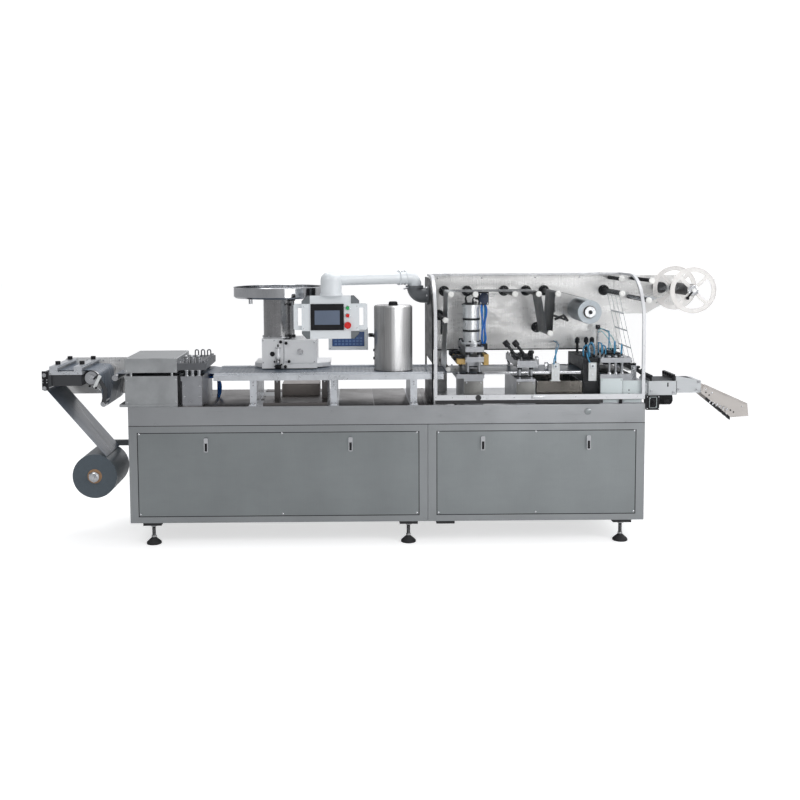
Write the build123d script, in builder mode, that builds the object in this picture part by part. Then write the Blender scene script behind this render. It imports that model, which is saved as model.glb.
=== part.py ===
from build123d import *
import math
import os

os.makedirs("parts", exist_ok=True)

# Driving dimensions in millimetres. Stations run along X from the left end of the cabinets, depths along Y
# from their middle to the back, and heights along Z from the top of the table.
origin_station, table_height = 1580.0, 830.0
cabinet_margin, cabinet_depth = 18.0, 680.0
cabinet_seam, seam_gap = 1756.0, 2.0
cabinet_clearance, table_skirt, table_corner = 139.0, 110.0, 3.0
fit, running_gap, shaft_gap = 0.3, 0.5, 0.1

# Service panels on the long sides of the cabinets, and a plug in the table's skirt
panel_margin, panel_bottom_margin, panel_top_margin = 49.0, 36.0, 42.0
panel_recess, panel_sheet, panel_gap = 12.0, 11.0, 2.5
handle_insets = (455.0, 454.0, 322.0, 331.0)
handle_width, handle_height, handle_projection, handle_drop = 24.0, 83.0, 16.0, 225.0
plug_inset, plug_drop, plug_radius, plug_projection = 336.0, 44.0, 20.0, 3.0

# Levelling feet and the pads that they screw into
foot_insets, spare_pad_inset = (125.0, 113.0, 122.0), 105.0
foot_inset, foot_radius, foot_disc, foot_cone = 60.0, 43.0, 12.0, 26.0
stud_radius, stud_shoulder, lock_nut_radius, lock_nut_height = 10.0, 4.0, 17.0, 12.0
pad_length, pad_depth, pad_thickness = 108.0, 90.0, 20.0

# Film, foil and waste web, and the levels at which they run
web_width, web_middle, web_thickness = 330.0, -100.0, 1.0
web_level, web_high_level = 180.0, 190.0
foil_front, foil_back = -225.0, 65.0
station_front, station_back = -320.0, 116.0

# Forming film roll on its unwind arm
roll_station, roll_height, roll_radius = -224.0, -425.0, 132.0
core_radius, core_wall, roll_clear_run = 38.0, 5.0, 42.0
roll_shaft_radius, roll_shaft_tail, chuck_radius, chuck_length = 15.0, 8.0, 30.0, 34.0
arm_front, arm_thickness, arm_bar_height, arm_bar_level = 82.0, 26.0, 34.0, -294.0
arm_boss_radius, arm_flange_thickness, arm_flange_overhang = 40.0, 12.0, 30.0

# Infeed plate with its rollers, splice table, guide drum and dancer arm
side_plate_left, side_plate_right, side_plate_thickness = -490.0, 60.0, 14.0
side_plate_bottom, side_plate_top, side_plate_corner = 16.0, 244.0, 20.0
idle_radius, idle_cap_radius, idle_cap_length = 18.0, 12.0, 6.0
end_roller_station, end_roller_upper, end_roller_lower = -485.0, 193.0, 116.0
end_bracket_left, end_bracket_bottom, end_bracket_top, end_bracket_sheet = -500.0, 105.0, 215.0, 10.0
entry_station, dancer_station, dancer_height = -75.0, -146.0, 19.0
dancer_arm_points = ((-180.0, 190.0), (-130.0, 100.0), (-146.0, 19.0))
dancer_arm_width, dancer_arm_sheet = 24.0, 8.0
splice_left, splice_right, splice_depth, splice_drop = -461.0, -267.0, 82.0, 3.0
splice_lip, splice_step = 16.0, 6.0
clamp_width, clamp_thickness, clamp_rise, clamp_foot, clamp_margin = 44.0, 12.0, 22.0, 16.0, 3.0
knob_radius, knob_height, knob_round = 15.0, 20.0, 10.0
clamp_knob_front, clamp_knob_back = 100.0, 80.0
drum_station, drum_radius, drum_hub_radius, drum_hub_length = -213.0, 38.0, 19.0, 10.0

# Heater station
heater_left, heater_right, heater_base_left, heater_base_thickness = -18.0, 290.0, -51.0, 15.0
heater_base_lip, heater_flange, heater_flange_lip = 8.0, 12.0, 4.0
heater_slot_below, heater_gap, heater_upper_height, heater_edge = 9.0, 20.0, 84.0, 3.0
heater_pillar_radius, heater_pillar_inset, heater_pillar_margin = 9.0, 34.0, 17.0

# Forming station
former_left, former_right, former_plate_thickness = 290.0, 457.0, 40.0
former_block_left, former_block_right = 318.0, 433.0
former_lower_left, former_lower_right, former_lower_thickness = 310.0, 435.0, 28.0
former_slot_below, former_slot_above, former_row_inset = 12.0, 25.0, 20.0
former_pillars, former_pillar_radius = (343.0, 377.0, 415.0), 11.0
former_post_radius, former_post_height, former_post_tip = 14.0, 34.0, 8.0
former_stop_right, former_stop_width, former_stop_rise = 449.0, 16.0, 12.0
loop_stations, loop_width, loop_height, loop_radius, loop_inset = (350.0, 388.0, 426.0), 20.0, 40.0, 4.0, 66.0

# Guide track on its legs, with a tray and the box of the film drive under it
track_left, track_end_gap, track_front, track_back, track_thickness = 500.0, 73.0, -309.0, 169.0, 32.0
track_leg_stations, track_leg_width, track_leg_inset = (732.0, 1206.0, 1676.0), 40.0, 6.0
track_leg_foot, track_leg_foot_thickness = 24.0, 8.0
track_rail_width, track_rail_height = 14.0, 8.0
tray_left, tray_right, tray_front, tray_back, tray_height = 790.0, 1166.0, -322.0, -120.0, 18.0
tray_post_stations, tray_post_size = (862.0, 1148.0), 34.0
drive_box_left, drive_box_right, drive_box_front, drive_box_back, drive_box_height = 876.0, 1112.0, 60.0, 220.0, 75.0

# Pill feeder
feeder_station, feeder_depth = 860.0, 85.0
feeder_base_left, feeder_base_right, feeder_base_front, feeder_base_back = 709.0, 1180.0, 0.0, 300.0
feeder_base_thickness, feeder_base_corner = 24.0, 60.0
feeder_column_stations, feeder_column_size, feeder_column_depth = (725.0, 1150.0), 40.0, 250.0
housing_left, housing_right, housing_front, housing_back, housing_height = 764.0, 1100.0, -60.0, 230.0, 158.0
housing_split, housing_step, housing_door, housing_knob_radius = 896.0, 8.0, 7.0, 16.0
gate_cylinder_radius, gate_cylinder_station, gate_cylinder_bottom, gate_cylinder_top = 15.0, 863.0, 246.0, 320.0
feeder_drum_radius, feeder_drum_height = 95.0, 246.0
bowl_radius, bowl_height, bowl_wall, bowl_bevel = 277.0, 66.0, 3.0, 10.0
bowl_peg_radius, bowl_peg_length, bowl_peg_reach = 12.0, 40.0, 175.0
tube_offset, tube_depth, tube_radius, tube_collar_radius, tube_collar_height = 84.0, -62.0, 17.0, 23.0, 18.0

# Cylindrical cover of the inspection unit and the controller box beside it
cover_station, cover_depth, cover_radius, cover_height, cover_bevel = 1565.0, -100.0, 116.0, 393.0, 8.0
cover_knob_radius, cover_knob_height = 27.0, 22.0
controller_left, controller_right, controller_front, controller_depth = 1172.0, 1413.0, -60.0, 90.0
controller_bottom, controller_height, controller_edge = 298.0, 134.0, 22.0
controller_bar_inset, controller_bar_depth, controller_bar_height, controller_bar_drop = 10.0, 20.0, 20.0, 55.0

# Swinging arm over the machine, and the operator panel that hangs from it
arm_clearance, arm_radius, swing_bend = 142.0, 37.0, 46.0
elbow_radius, elbow_rise, elbow_round = 62.0, 4.0, 45.0
swing_station, swing_depth, swing_drop, swing_casting_radius = 1698.0, -50.0, 49.0, 42.0
arm_collar_radius, arm_collar_length, arm_coupling_start, arm_coupling_end = 66.0, 12.0, 0.80, 0.88
swivel_collar_radius, swivel_collar_height = 54.0, 16.0
lower_elbow_drop, lower_elbow_radius, lower_elbow_bend = 109.0, 46.0, 52.0
lower_flange_radius, lower_flange_thickness = 58.0, 10.0
screen_station, screen_front, screen_depth = 1190.0, -290.0, 45.0
screen_width, screen_height, screen_drop, elbow_offset = 338.0, 252.0, 96.0, 5.0
screen_corner, corner_width, corner_height, corner_lip = 30.0, 48.0, 45.0, 2.0
bezel_offset, bezel_width, bezel_rise, bezel_height, bezel_thickness = -19.0, 194.0, 51.0, 154.0, 6.0
display_width, display_height, display_drop, display_recess, display_sheet = 148.0, 84.0, 3.0, 4.0, 3.0
button_offset, green_rise, red_rise, stop_rise = 101.0, 180.0, 136.0, 80.0
button_radius, button_length, stop_radius, stop_length = 11.0, 10.0, 20.0, 24.0
grip_reach, grip_hole, grip_width, grip_depth, grip_round = 48.0, 24.0, 24.0, 30.0, 12.0

# Right enclosure: end plate, roller panel and lifting hood
end_plate_station, end_plate_thickness, end_plate_front, end_plate_back = 1782.0, 8.0, -322.0, 239.0
end_notch_below, end_notch_above, end_notch_back = 45.0, 65.0, 182.0
roller_panel_left, roller_panel_right, roller_panel_front, roller_panel_back = 1842.0, 3020.0, 205.0, 340.0
roller_panel_bottom, roller_panel_top = 268.0, 740.0
panel_column_stations, panel_column_width, panel_column_depth = (1890.0, 2920.0), 60.0, 60.0
hood_left, hood_right, hood_front, hood_bottom = 1793.0, 3025.0, -342.0, 28.0
hood_rise, hood_bend, hood_bar, hood_bar_depth, hood_sill, hood_sheet = 12.0, 290.0, 18.0, 14.0, 30.0, 5.0
hinge_stations, hinge_setback, hinge_radius, hinge_pin_radius = (1907.0, 2862.0), 2.0, 8.0, 4.0
hinge_knuckle, hinge_lift, hinge_leaf = 24.0, 1.0, 10.0
stop_stations, stop_post_radius, stop_post_inset = (1920.0, 2887.0), 9.0, 10.5

# Rollers on the panel, given by station and by drop below the panel's top
roller_front, roller_radius, roller_flange_radius, roller_flange_thickness = -230.0, 14.0, 33.0, 10.0
roller_cap_radius, roller_cap_thickness = 17.0, 10.0
top_roller_stations, top_roller_drop = (1901.0, 2046.0, 2280.0, 2420.0, 2534.0), 99.0
low_roller_station, low_roller_drop = 1868.0, 250.0
tension_station, tension_drop = 2489.0, 333.0
foil_guide_station, foil_guide_rise = 1885.0, 17.0
waste_roller_station, waste_roller_drop = 2913.0, 100.0
lid_roll_station, lid_roll_drop, lid_roll_radius = 2725.0, 209.0, 70.0
lid_core_radius, lid_shaft_radius, lid_shaft_end = 38.0, 12.0, 20.0
lever_points, lever_width, lever_sheet = ((2514.0, 251.0), (2568.0, 227.0), (2592.0, 257.0)), 14.0, 6.0

# Heat-seal station
seal_left, seal_right, seal_block_height = 1969.0, 2083.0, 153.0
seal_base_left, seal_base_right, seal_base_thickness = 1925.0, 2089.0, 24.0
seal_head_left, seal_head_right, seal_head_level, seal_head_thickness = 1979.0, 2087.0, 307.0, 31.0
seal_pillar_stations, seal_pillar_depths = (1995.0, 2063.0), (-290.0, 90.0)
seal_pillar_radius, seal_head_margin = 9.0, 22.0
platen_level, platen_thickness, die_drop = 247.0, 31.0, 47.0
die_side_margin, die_front_margin, die_back_margin = 10.0, 40.0, 50.0
ram_radius, ram_reach, ram_stroke = 16.0, 40.0, 12.0
cylinder_station, cylinder_depth, cylinder_radius, cylinder_height = 2037.0, -105.0, 49.0, 236.0
cylinder_flange_radius, cylinder_flange_thickness, cylinder_band, cylinder_band_proud = 60.0, 12.0, 8.0, 2.0
cylinder_band_levels = (75.0, 145.0)
valve_left, valve_right, valve_front, valve_depth, valve_height = 2080.0, 2138.0, -140.0, 50.0, 76.0

# Indexing station with its toggle clamps, the bin after it and two sensor brackets
index_left, index_right, index_block_height = 2276.0, 2388.0, 148.0
index_plate_left, index_plate_right, index_plate_level, index_plate_thickness = 2281.0, 2400.0, 215.0, 40.0
index_pillar_stations, index_pillar_radius = (2298.0, 2366.0), 9.0
toggle_stations, toggle_depth, toggle_reach, toggle_height = (2290.0, 2345.0), -250.0, 58.0, 75.0
toggle_radius, toggle_knob_radius, toggle_foot, toggle_foot_height = 9.0, 17.0, 40.0, 26.0
stop_screw_station, stop_screw_depth, stop_screw_radius, stop_screw_height = 2378.0, -230.0, 12.0, 46.0
bin_left, bin_right, bin_front, bin_back, bin_height, bin_wall = 2401.0, 2668.0, -290.0, 40.0, 130.0, 3.0
sensor_width, sensor_height, sensor_sheet, sensor_foot_width, sensor_foot_depth = 46.0, 108.0, 6.0, 58.0, 24.0
sensor_foot_thickness, sensor_stations, sensor_front = 5.0, (2511.0, 2728.0), -296.0

# Punching station with the cutter before it and the gear box after it
punch_left, punch_right, punch_box_height, punch_plate_thickness = 2768.0, 2951.0, 150.0, 22.0
punch_head_level, punch_head_thickness, punch_pillar_radius = 240.0, 28.0, 8.0
punch_pillar_stations = (2825.0, 2862.0, 2899.0)
gear_box_right, gear_box_height = 3010.0, 137.0
cutter_left, cutter_back_wall, cutter_front_wall, cutter_rise = 2673.0, 30.0, 20.0, 262.0
cutter_slot = (168.0, 196.0)
turn_station, turn_cheek_width, turn_cheek_sheet, turn_cheek_rise, turn_margin = 2985.0, 30.0, 8.0, 36.0, 13.0
gauge_stations, gauge_heights = (2725.0, 2780.0, 2816.0, 2853.0), (317.0, 317.0, 317.0, 402.0)
gauge_depth, gauge_radius = 92.0, 8.0
gauge_knob_radius, gauge_knob_height = 14.0, 26.0

# Bracket of the scrap reel at the right end, with drops below the roller panel's top
reel_plate_lap, reel_plate_right, reel_arm_right, reel_chamfer = 40.0, 3186.0, 3418.0, 91.0
reel_plate_thickness, reel_plate_top_drop, reel_plate_drop, reel_arm_drop = 6.0, 7.0, 251.0, 198.0
reel_station, reel_drop, reel_radius, reel_rim, reel_disc = 3322.0, 83.0, 135.0, 27.0, 4.0
reel_spokes, reel_spoke_width, reel_front, reel_back = 4, 22.0, -264.0, 76.0
reel_hub_radius, reel_shaft_radius, reel_shaft_nose = 34.0, 12.0, 20.0
reel_drive_offset, reel_drive_radius, reel_drive_length = -68.0, 34.0, 70.0
waste_guide_station, waste_guide_drop, waste_guide_radius = 3070.0, 141.0, 10.0
spare_guides = ((3085.0, 25.0, -240.0), (2947.0, 20.0, -92.0))
spare_guide_radius = 8.0
waste_window, waste_window_length, waste_rib, waste_columns = 84.0, 96.0, 10.0, 3

# Discharge conveyor and chute
belt_gap, belt_first, belt_second, belt_front, belt_back = 48.0, 165.0, 148.0, -240.0, -40.0
belt_height, belt_bottom, belt_sheet, belt_margin = 122.0, 34.0, 4.0, 15.0
belt_step, belt_tail = 6.0, 30.0
guard_rise, guard_sheet = 26.0, 3.0
belt_bracket_height, belt_flange, belt_flange_bottom = 70.0, 12.0, -90.0
press_bar_inset, press_bar_width, press_bar_rise, press_bar_height = 149.0, 14.0, 6.0, 10.0
press_knobs, press_knob_radius, press_knob_height = 5, 12.0, 18.0
motor_inset, motor_length, motor_radius, motor_drop = 88.0, 76.0, 32.0, 38.0
switch_overhang, switch_width, switch_height, switch_lead, switch_depth = 16.0, 75.0, 86.0, 20.0, 60.0
chute_start_height, chute_slope, chute_sheet, chute_floor = 60.0, 24.0, 3.0, 6.0
chute_front, chute_back = -240.0, -60.0
chute_side = ((0.0, 40.0), (285.0, 38.0), (311.0, -32.0), (196.0, -91.0), (33.0, -29.0), (0.0, -20.0))
cleat_count, cleat_share, cleat_height, cleat_depth = 6, 0.6, 22.0, 32.0

# Air lines
line_radius = 6.0
former_line, former_line_bend = ((433.0, 60.0, 135.0), (477.0, 60.0, 135.0), (477.0, 60.0, 0.0)), 30.0
valve_line_depth, valve_line_insets, valve_line_block = -124.0, (14.0, 30.0), 44.0
small_line_radius, small_line_bend = 4.0, 12.0
sensor_line_end, sensor_line_level = 2615.0, 312.0
punch_line_spans = (((2792.0, -250.0), (2792.0, -170.0), 345.0), ((2812.0, -262.0), (2812.0, -190.0), 330.0),
                    ((2872.0, -230.0), (2895.0, -160.0), 352.0), ((2905.0, -260.0), (2925.0, -200.0), 338.0))
panel_line = (2884.0, -60.0, 400.0)


def slab(x0, x1, y0, y1, z0, z1, mode=Mode.ADD):
    """A block between two corners."""
    with Locations(((x0 + x1) / 2, (y0 + y1) / 2, (z0 + z1) / 2)):
        Box(x1 - x0, y1 - y0, z1 - z0, mode=mode)


def rod(start, direction, length, radius, mode=Mode.ADD):
    """A round bar from this point."""
    with Locations(Plane(origin=start, z_dir=direction)):
        Cylinder(radius, length, align=(Align.CENTER, Align.CENTER, Align.MIN), mode=mode)


def rod_back(x, z, y0, y1, radius, mode=Mode.ADD):
    """A round bar that runs to the back."""
    rod((x, y0, z), (0, 1, 0), y1 - y0, radius, mode)


def rod_up(x, y, z0, z1, radius, mode=Mode.ADD):
    """A round bar that stands upright."""
    rod((x, y, z0), (0, 0, 1), z1 - z0, radius, mode)


def rod_along(x0, x1, y, z, radius, mode=Mode.ADD):
    """A round bar that runs with the film."""
    rod((x0, y, z), (1, 0, 0), x1 - x0, radius, mode)


def upright(depth):
    """The XZ plane at this depth, which extrudes to the front."""
    return Plane(origin=(0, depth, 0), x_dir=(1, 0, 0), z_dir=(0, -1, 0))


def profile(points, y0, y1, mode=Mode.ADD):
    """A plate with this outline in the XZ plane."""
    with BuildSketch(upright(y1)) as outline:
        with BuildLine():
            Polyline(*points, close=True)
        make_face()
    extrude(outline.sketch, amount=y1 - y0, mode=mode)


def link(points, y0, y1, width):
    """A flat bar that follows a path in the XZ plane."""
    with BuildSketch(upright(y1)) as outline:
        with BuildLine():
            Polyline(*points)
        trace(line_width=width)
    extrude(outline.sketch, amount=y1 - y0)


def around(x, z, radius, side):
    """A roller that a web wraps: the side is 1 where the roller lies to the left of the web's travel."""
    return x, z, side * (radius + fit + web_thickness / 2)


def run_between(first, second):
    """Bearing and both ends of the straight run of a web between two rollers."""
    (x0, z0, r0), (x1, z1, r1) = first, second
    bearing = math.atan2(z1 - z0, x1 - x0) - math.asin((r1 - r0) / math.dist((x0, z0), (x1, z1)))
    left_x, left_z = -math.sin(bearing), math.cos(bearing)
    return bearing, (x0 - r0 * left_x, z0 - r0 * left_z), (x1 - r1 * left_x, z1 - r1 * left_z)


def shortened(start, end, length):
    """The start of a run, moved this far towards its end."""
    share = length / math.dist(start, end)
    return start[0] + share * (end[0] - start[0]), start[1] + share * (end[1] - start[1])


def web(rollers, y0, y1, start_gap=0, end_gap=0):
    """A web that runs straight between rollers and wraps round each; returns its straight runs."""
    runs = [run_between(a, b) for a, b in zip(rollers, rollers[1:])]
    spans = [[start, end] for _, start, end in runs]
    if start_gap:
        spans[0][0] = shortened(*spans[0], start_gap)
    if end_gap:
        spans[-1][1] = shortened(spans[-1][1], spans[-1][0], end_gap)
    with BuildSketch(upright(y1)) as outline:
        with BuildLine():
            for start, end in spans:
                Line(start, end)
            for before, after, (x, z, radius) in zip(runs, runs[1:], rollers[1:-1]):
                if math.dist(before[2], after[1]) > fit:
                    turn = math.copysign((after[0] - before[0]) * math.copysign(1, radius) % (2 * math.pi), radius)
                    middle = before[0] + turn / 2
                    ThreePointArc(before[2], (x + radius * math.sin(middle), z - radius * math.cos(middle)), after[1])
        trace(line_width=web_thickness)
    extrude(outline.sketch, amount=y1 - y0)
    return spans


pieces = {}
floor = -table_height
front, back = -cabinet_depth / 2, cabinet_depth / 2
cabinet_length = gear_box_right + cabinet_margin
track_right = seal_base_left - track_end_gap
belt_left = cabinet_length + belt_gap
belt_split = belt_left + belt_first
belt_right = belt_split + belt_second
press_bar_station, motor_left = belt_left + press_bar_inset, belt_left + motor_inset
switch_left = belt_left - switch_overhang
plug_station = cabinet_length - plug_inset
handle_stations = (handle_insets[0], cabinet_seam - handle_insets[1], cabinet_seam + handle_insets[2],
                   cabinet_length - handle_insets[3])
foot_stations = (foot_insets[0], cabinet_seam - foot_insets[1], cabinet_length - foot_insets[2])
spare_pad_station = cabinet_seam + spare_pad_inset
table_bottom = -table_skirt
cabinet_bottom = floor + cabinet_clearance
web_front, web_back = web_middle - web_width / 2, web_middle + web_width / 2
half_web = web_thickness / 2
cabinet_spans = ((0, cabinet_seam - seam_gap / 2), (cabinet_seam + seam_gap / 2, cabinet_length))
recess_bottom, recess_top = cabinet_bottom + panel_bottom_margin, table_bottom - panel_top_margin

# Cabinets, with a shallow recess on both long sides for the service panels
for name, (x0, x1) in zip(("cabinet_left", "cabinet_right"), cabinet_spans):
    with BuildPart() as cabinet:
        slab(x0, x1, front, back, cabinet_bottom, table_bottom)
        for y0, y1 in ((front, front + panel_recess), (back - panel_recess, back)):
            slab(x0 + panel_margin, x1 - panel_margin, y0, y1, recess_bottom, recess_top, Mode.SUBTRACT)
    pieces[name] = cabinet.part

with BuildPart() as table:
    slab(0, cabinet_length, front, back, table_bottom, 0)
    chamfer(table.edges().filter_by(Axis.Z), table_corner)
    rod_back(plug_station, -plug_drop, front - plug_projection, front, plug_radius)
pieces["table_top"] = table.part

# Service panels, lifted off by two latches each
sheet_faces = (front + panel_recess - panel_sheet, back - panel_recess + panel_sheet)
with BuildPart() as panels:
    for x0, x1 in cabinet_spans:
        for face, seat in zip(sheet_faces, (front + panel_recess, back - panel_recess)):
            slab(x0 + panel_margin + panel_gap, x1 - panel_margin - panel_gap, min(face, seat), max(face, seat),
                 recess_bottom + panel_gap, recess_top - panel_gap)
pieces["service_panels"] = panels.part

with BuildPart() as handles:
    for face, direction in zip(sheet_faces, (-1, 1)):
        for station in handle_stations:
            with Locations((station, face + direction * handle_projection / 2, -handle_drop)):
                Box(handle_width, handle_projection, handle_height)
    fillet(handles.edges().filter_by(Axis.Y), handle_width / 4)
pieces["latch_handles"] = handles.part

# Feet: a disc with a cone, a stud and a lock nut, under the pads welded to the cabinets
pad_bottom = cabinet_bottom - pad_thickness
with BuildPart() as feet:
    for y in (front + foot_inset, back - foot_inset):
        for station in (*foot_stations, spare_pad_station):
            slab(station - pad_length / 2, station + pad_length / 2, y - pad_depth / 2, y + pad_depth / 2,
                 pad_bottom, cabinet_bottom)
        for station in foot_stations:
            rod_up(station, y, floor, floor + foot_disc, foot_radius)
            with Locations((station, y, floor + foot_disc)):
                Cone(foot_radius, stud_radius + stud_shoulder, foot_cone, align=(Align.CENTER, Align.CENTER, Align.MIN))
            rod_up(station, y, floor + foot_disc + foot_cone, pad_bottom, stud_radius)
            rod_up(station, y, pad_bottom - lock_nut_height, pad_bottom, lock_nut_radius)
pieces["levelling_feet"] = feet.part

# Unwind arm behind the forming film roll
arm_back = arm_front + arm_thickness
bar_top, bar_bottom = arm_bar_level + arm_bar_height / 2, arm_bar_level - arm_bar_height / 2
with BuildPart() as unwind_arm:
    slab(roll_station - arm_bar_height / 2, 0, arm_front, arm_back, bar_bottom, bar_top)
    slab(roll_station - arm_bar_height / 2, roll_station + arm_bar_height / 2, arm_front, arm_back,
         roll_height, bar_bottom)
    rod_back(roll_station, roll_height, arm_front, arm_back, arm_boss_radius)
    slab(-arm_flange_thickness, 0, arm_front - arm_flange_overhang, arm_back + arm_flange_overhang,
         bar_bottom - arm_boss_radius, bar_top + arm_boss_radius)
    rod_back(roll_station, roll_height, arm_front, arm_back, roll_shaft_radius + fit, Mode.SUBTRACT)
pieces["unwind_arm"] = unwind_arm.part

# Forming film roll on its core, clamped on a turning shaft
with BuildPart() as film_roll:
    rod_back(roll_station, roll_height, web_front, web_back, roll_radius)
    rod_back(roll_station, roll_height, web_front, web_back, core_radius + core_wall, Mode.SUBTRACT)
pieces["forming_film_roll"] = film_roll.part

with BuildPart() as core:
    rod_back(roll_station, roll_height, web_front, web_back, core_radius + core_wall)
    rod_back(roll_station, roll_height, web_front, web_back, core_radius, Mode.SUBTRACT)
pieces["forming_roll_core"] = core.part

with BuildPart() as roll_shaft:
    rod_back(roll_station, roll_height, web_front - chuck_length, arm_back + roll_shaft_tail, roll_shaft_radius)
    for y in (web_front, web_back - chuck_length):
        rod_back(roll_station, roll_height, y, y + chuck_length, core_radius)
    rod_back(roll_station, roll_height, web_front - chuck_length / 2, web_front, chuck_radius)
pieces["forming_roll_shaft"] = roll_shaft.part

# Infeed side plate, with the rollers and the guide drum that stand out from it
entry_height = web_high_level - half_web - fit - idle_radius
drum_height = end_roller_upper + idle_radius - drum_radius
with BuildPart() as side_plate:
    slab(side_plate_left, side_plate_right, station_back, station_back + side_plate_thickness,
         side_plate_bottom, side_plate_top)
    fillet(side_plate.edges().filter_by(Axis.Y).sort_by(Axis.X)[:2], side_plate_corner)
    slab(0, side_plate_right, station_back, station_back + side_plate_thickness, 0, side_plate_bottom)
pieces["infeed_side_plate"] = side_plate.part

with BuildPart() as infeed_rollers:
    for station, height, lift in ((end_roller_station, end_roller_upper, end_bracket_sheet),
                                  (end_roller_station, end_roller_lower, end_bracket_sheet),
                                  (entry_station, entry_height, 0), (dancer_station, dancer_height, dancer_arm_sheet)):
        rod_back(station, height, station_front - lift - idle_cap_length, station_front, idle_cap_radius)
        rod_back(station, height, station_front, station_back, idle_radius)
    rod_back(drum_station, drum_height, station_front, station_back, drum_radius)
    rod_back(drum_station, drum_height, station_front - drum_hub_length, station_front, drum_hub_radius)
pieces["infeed_rollers"] = infeed_rollers.part

# Splice table between its end brackets with the dancer arm, and its top plate with two clamp bars
splice_top = end_roller_upper + idle_radius - splice_drop
splice_bottom = splice_top - splice_depth
clamp_stations = (splice_left + clamp_margin + clamp_width / 2, splice_right - clamp_margin - clamp_width / 2)
clamp_top = splice_top + clamp_rise + clamp_thickness
with BuildPart() as splice_table:
    slab(splice_left, splice_right - splice_step, station_front + splice_step, station_back,
         splice_bottom, splice_top - splice_lip)
    for y in (station_front - end_bracket_sheet, station_back - end_bracket_sheet):
        slab(end_bracket_left, splice_left, y, y + end_bracket_sheet, end_bracket_bottom, end_bracket_top)
    slab(splice_left, splice_left + splice_lip, station_front - end_bracket_sheet, station_front + splice_step,
         splice_bottom, splice_top - splice_lip)
    for height in (end_roller_upper, end_roller_lower):
        rod_back(end_roller_station, height, station_front - end_bracket_sheet, station_front,
                 idle_cap_radius, Mode.SUBTRACT)
        rod_back(end_roller_station, height, station_back - end_bracket_sheet, station_back,
                 idle_radius, Mode.SUBTRACT)
    link(dancer_arm_points, station_front - dancer_arm_sheet, station_front, dancer_arm_width)
    rod_back(dancer_station, dancer_height, station_front - dancer_arm_sheet, station_front,
             idle_cap_radius, Mode.SUBTRACT)
pieces["splice_table"] = splice_table.part

with BuildPart() as infeed_plates:
    slab(splice_left, splice_right, station_front, station_back, splice_top - splice_lip, splice_top)
    for station in clamp_stations:
        x0, x1 = station - clamp_width / 2, station + clamp_width / 2
        slab(x0, x1, station_front, station_back - clamp_margin, splice_top + clamp_rise, clamp_top)
        for y in (station_front, station_back - clamp_margin - clamp_foot):
            slab(x0, x1, y, y + clamp_foot, splice_top, splice_top + clamp_rise)
pieces["infeed_plates"] = infeed_plates.part

# Heater station: a box below the film, and one above it on four pillars
slot_floor = web_high_level - heater_slot_below
heater_ceiling = slot_floor + heater_gap
with BuildPart() as heater_lower:
    slab(heater_base_left, heater_right - fit, station_front - heater_base_lip, station_back, 0, heater_base_thickness)
    slab(heater_left, heater_right - fit, station_front, station_back - fit,
         heater_base_thickness, slot_floor - heater_flange)
    slab(heater_left - heater_flange_lip, heater_right - fit, station_front - heater_flange_lip, station_back - fit,
         slot_floor - heater_flange, slot_floor)
    for x in (heater_left + heater_pillar_inset, heater_right - heater_pillar_inset):
        for y in (station_front + heater_pillar_margin, station_back - heater_pillar_margin):
            rod_up(x, y, slot_floor, heater_ceiling, heater_pillar_radius)
pieces["heater_lower"] = heater_lower.part

with BuildPart() as heater_upper:
    slab(heater_left, heater_right - fit, station_front, station_back - fit,
         heater_ceiling, heater_ceiling + heater_upper_height)
    chamfer(heater_upper.edges().group_by(Axis.Z)[-1], heater_edge)
pieces["heater_upper"] = heater_upper.part

# Forming station: block, lower plate and pillars; upper plate with posts, lifting loops and an end stop
former_rows = (station_front + former_row_inset, station_back - former_row_inset)
former_floor, former_ceiling = web_high_level - former_slot_below, web_high_level + former_slot_above
with BuildPart() as forming_base:
    slab(former_block_left, former_block_right, station_front, station_back,
         0, former_floor - former_lower_thickness)
    slab(former_lower_left, former_lower_right, station_front, station_back,
         former_floor - former_lower_thickness, former_floor)
    for station in former_pillars:
        for y in former_rows:
            rod_up(station, y, former_floor, former_ceiling, former_pillar_radius)
pieces["forming_base"] = forming_base.part

former_top = former_ceiling + former_plate_thickness
with BuildPart() as forming_upper:
    slab(former_left, former_right, station_front, station_back, former_ceiling, former_top)
    slab(former_stop_right - former_stop_width, former_stop_right, station_front + former_row_inset,
         station_back - former_row_inset, former_top, former_top + former_stop_rise)
    for station in former_pillars:
        y = former_rows[0]
        rod_up(station, y, former_top, former_top + former_post_height, former_post_radius)
        rod_up(station, y, former_top + former_post_height, former_top + former_post_height + former_post_tip,
               former_post_radius / 2)
    for station in loop_stations:
        y, x0, x1 = station_back - loop_inset, station - loop_width / 2, station + loop_width / 2
        with BuildLine() as loop_path:
            Polyline((x0, y, former_top), (x0, y, former_top + loop_height - loop_width / 2))
            ThreePointArc((x0, y, former_top + loop_height - loop_width / 2), (station, y, former_top + loop_height),
                          (x1, y, former_top + loop_height - loop_width / 2))
            Polyline((x1, y, former_top + loop_height - loop_width / 2), (x1, y, former_top))
        with BuildSketch(Plane(origin=loop_path.line @ 0, z_dir=loop_path.line % 0)) as loop_section:
            Circle(loop_radius)
        sweep(loop_section.sketch, path=loop_path.line)
pieces["forming_upper"] = forming_upper.part

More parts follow.
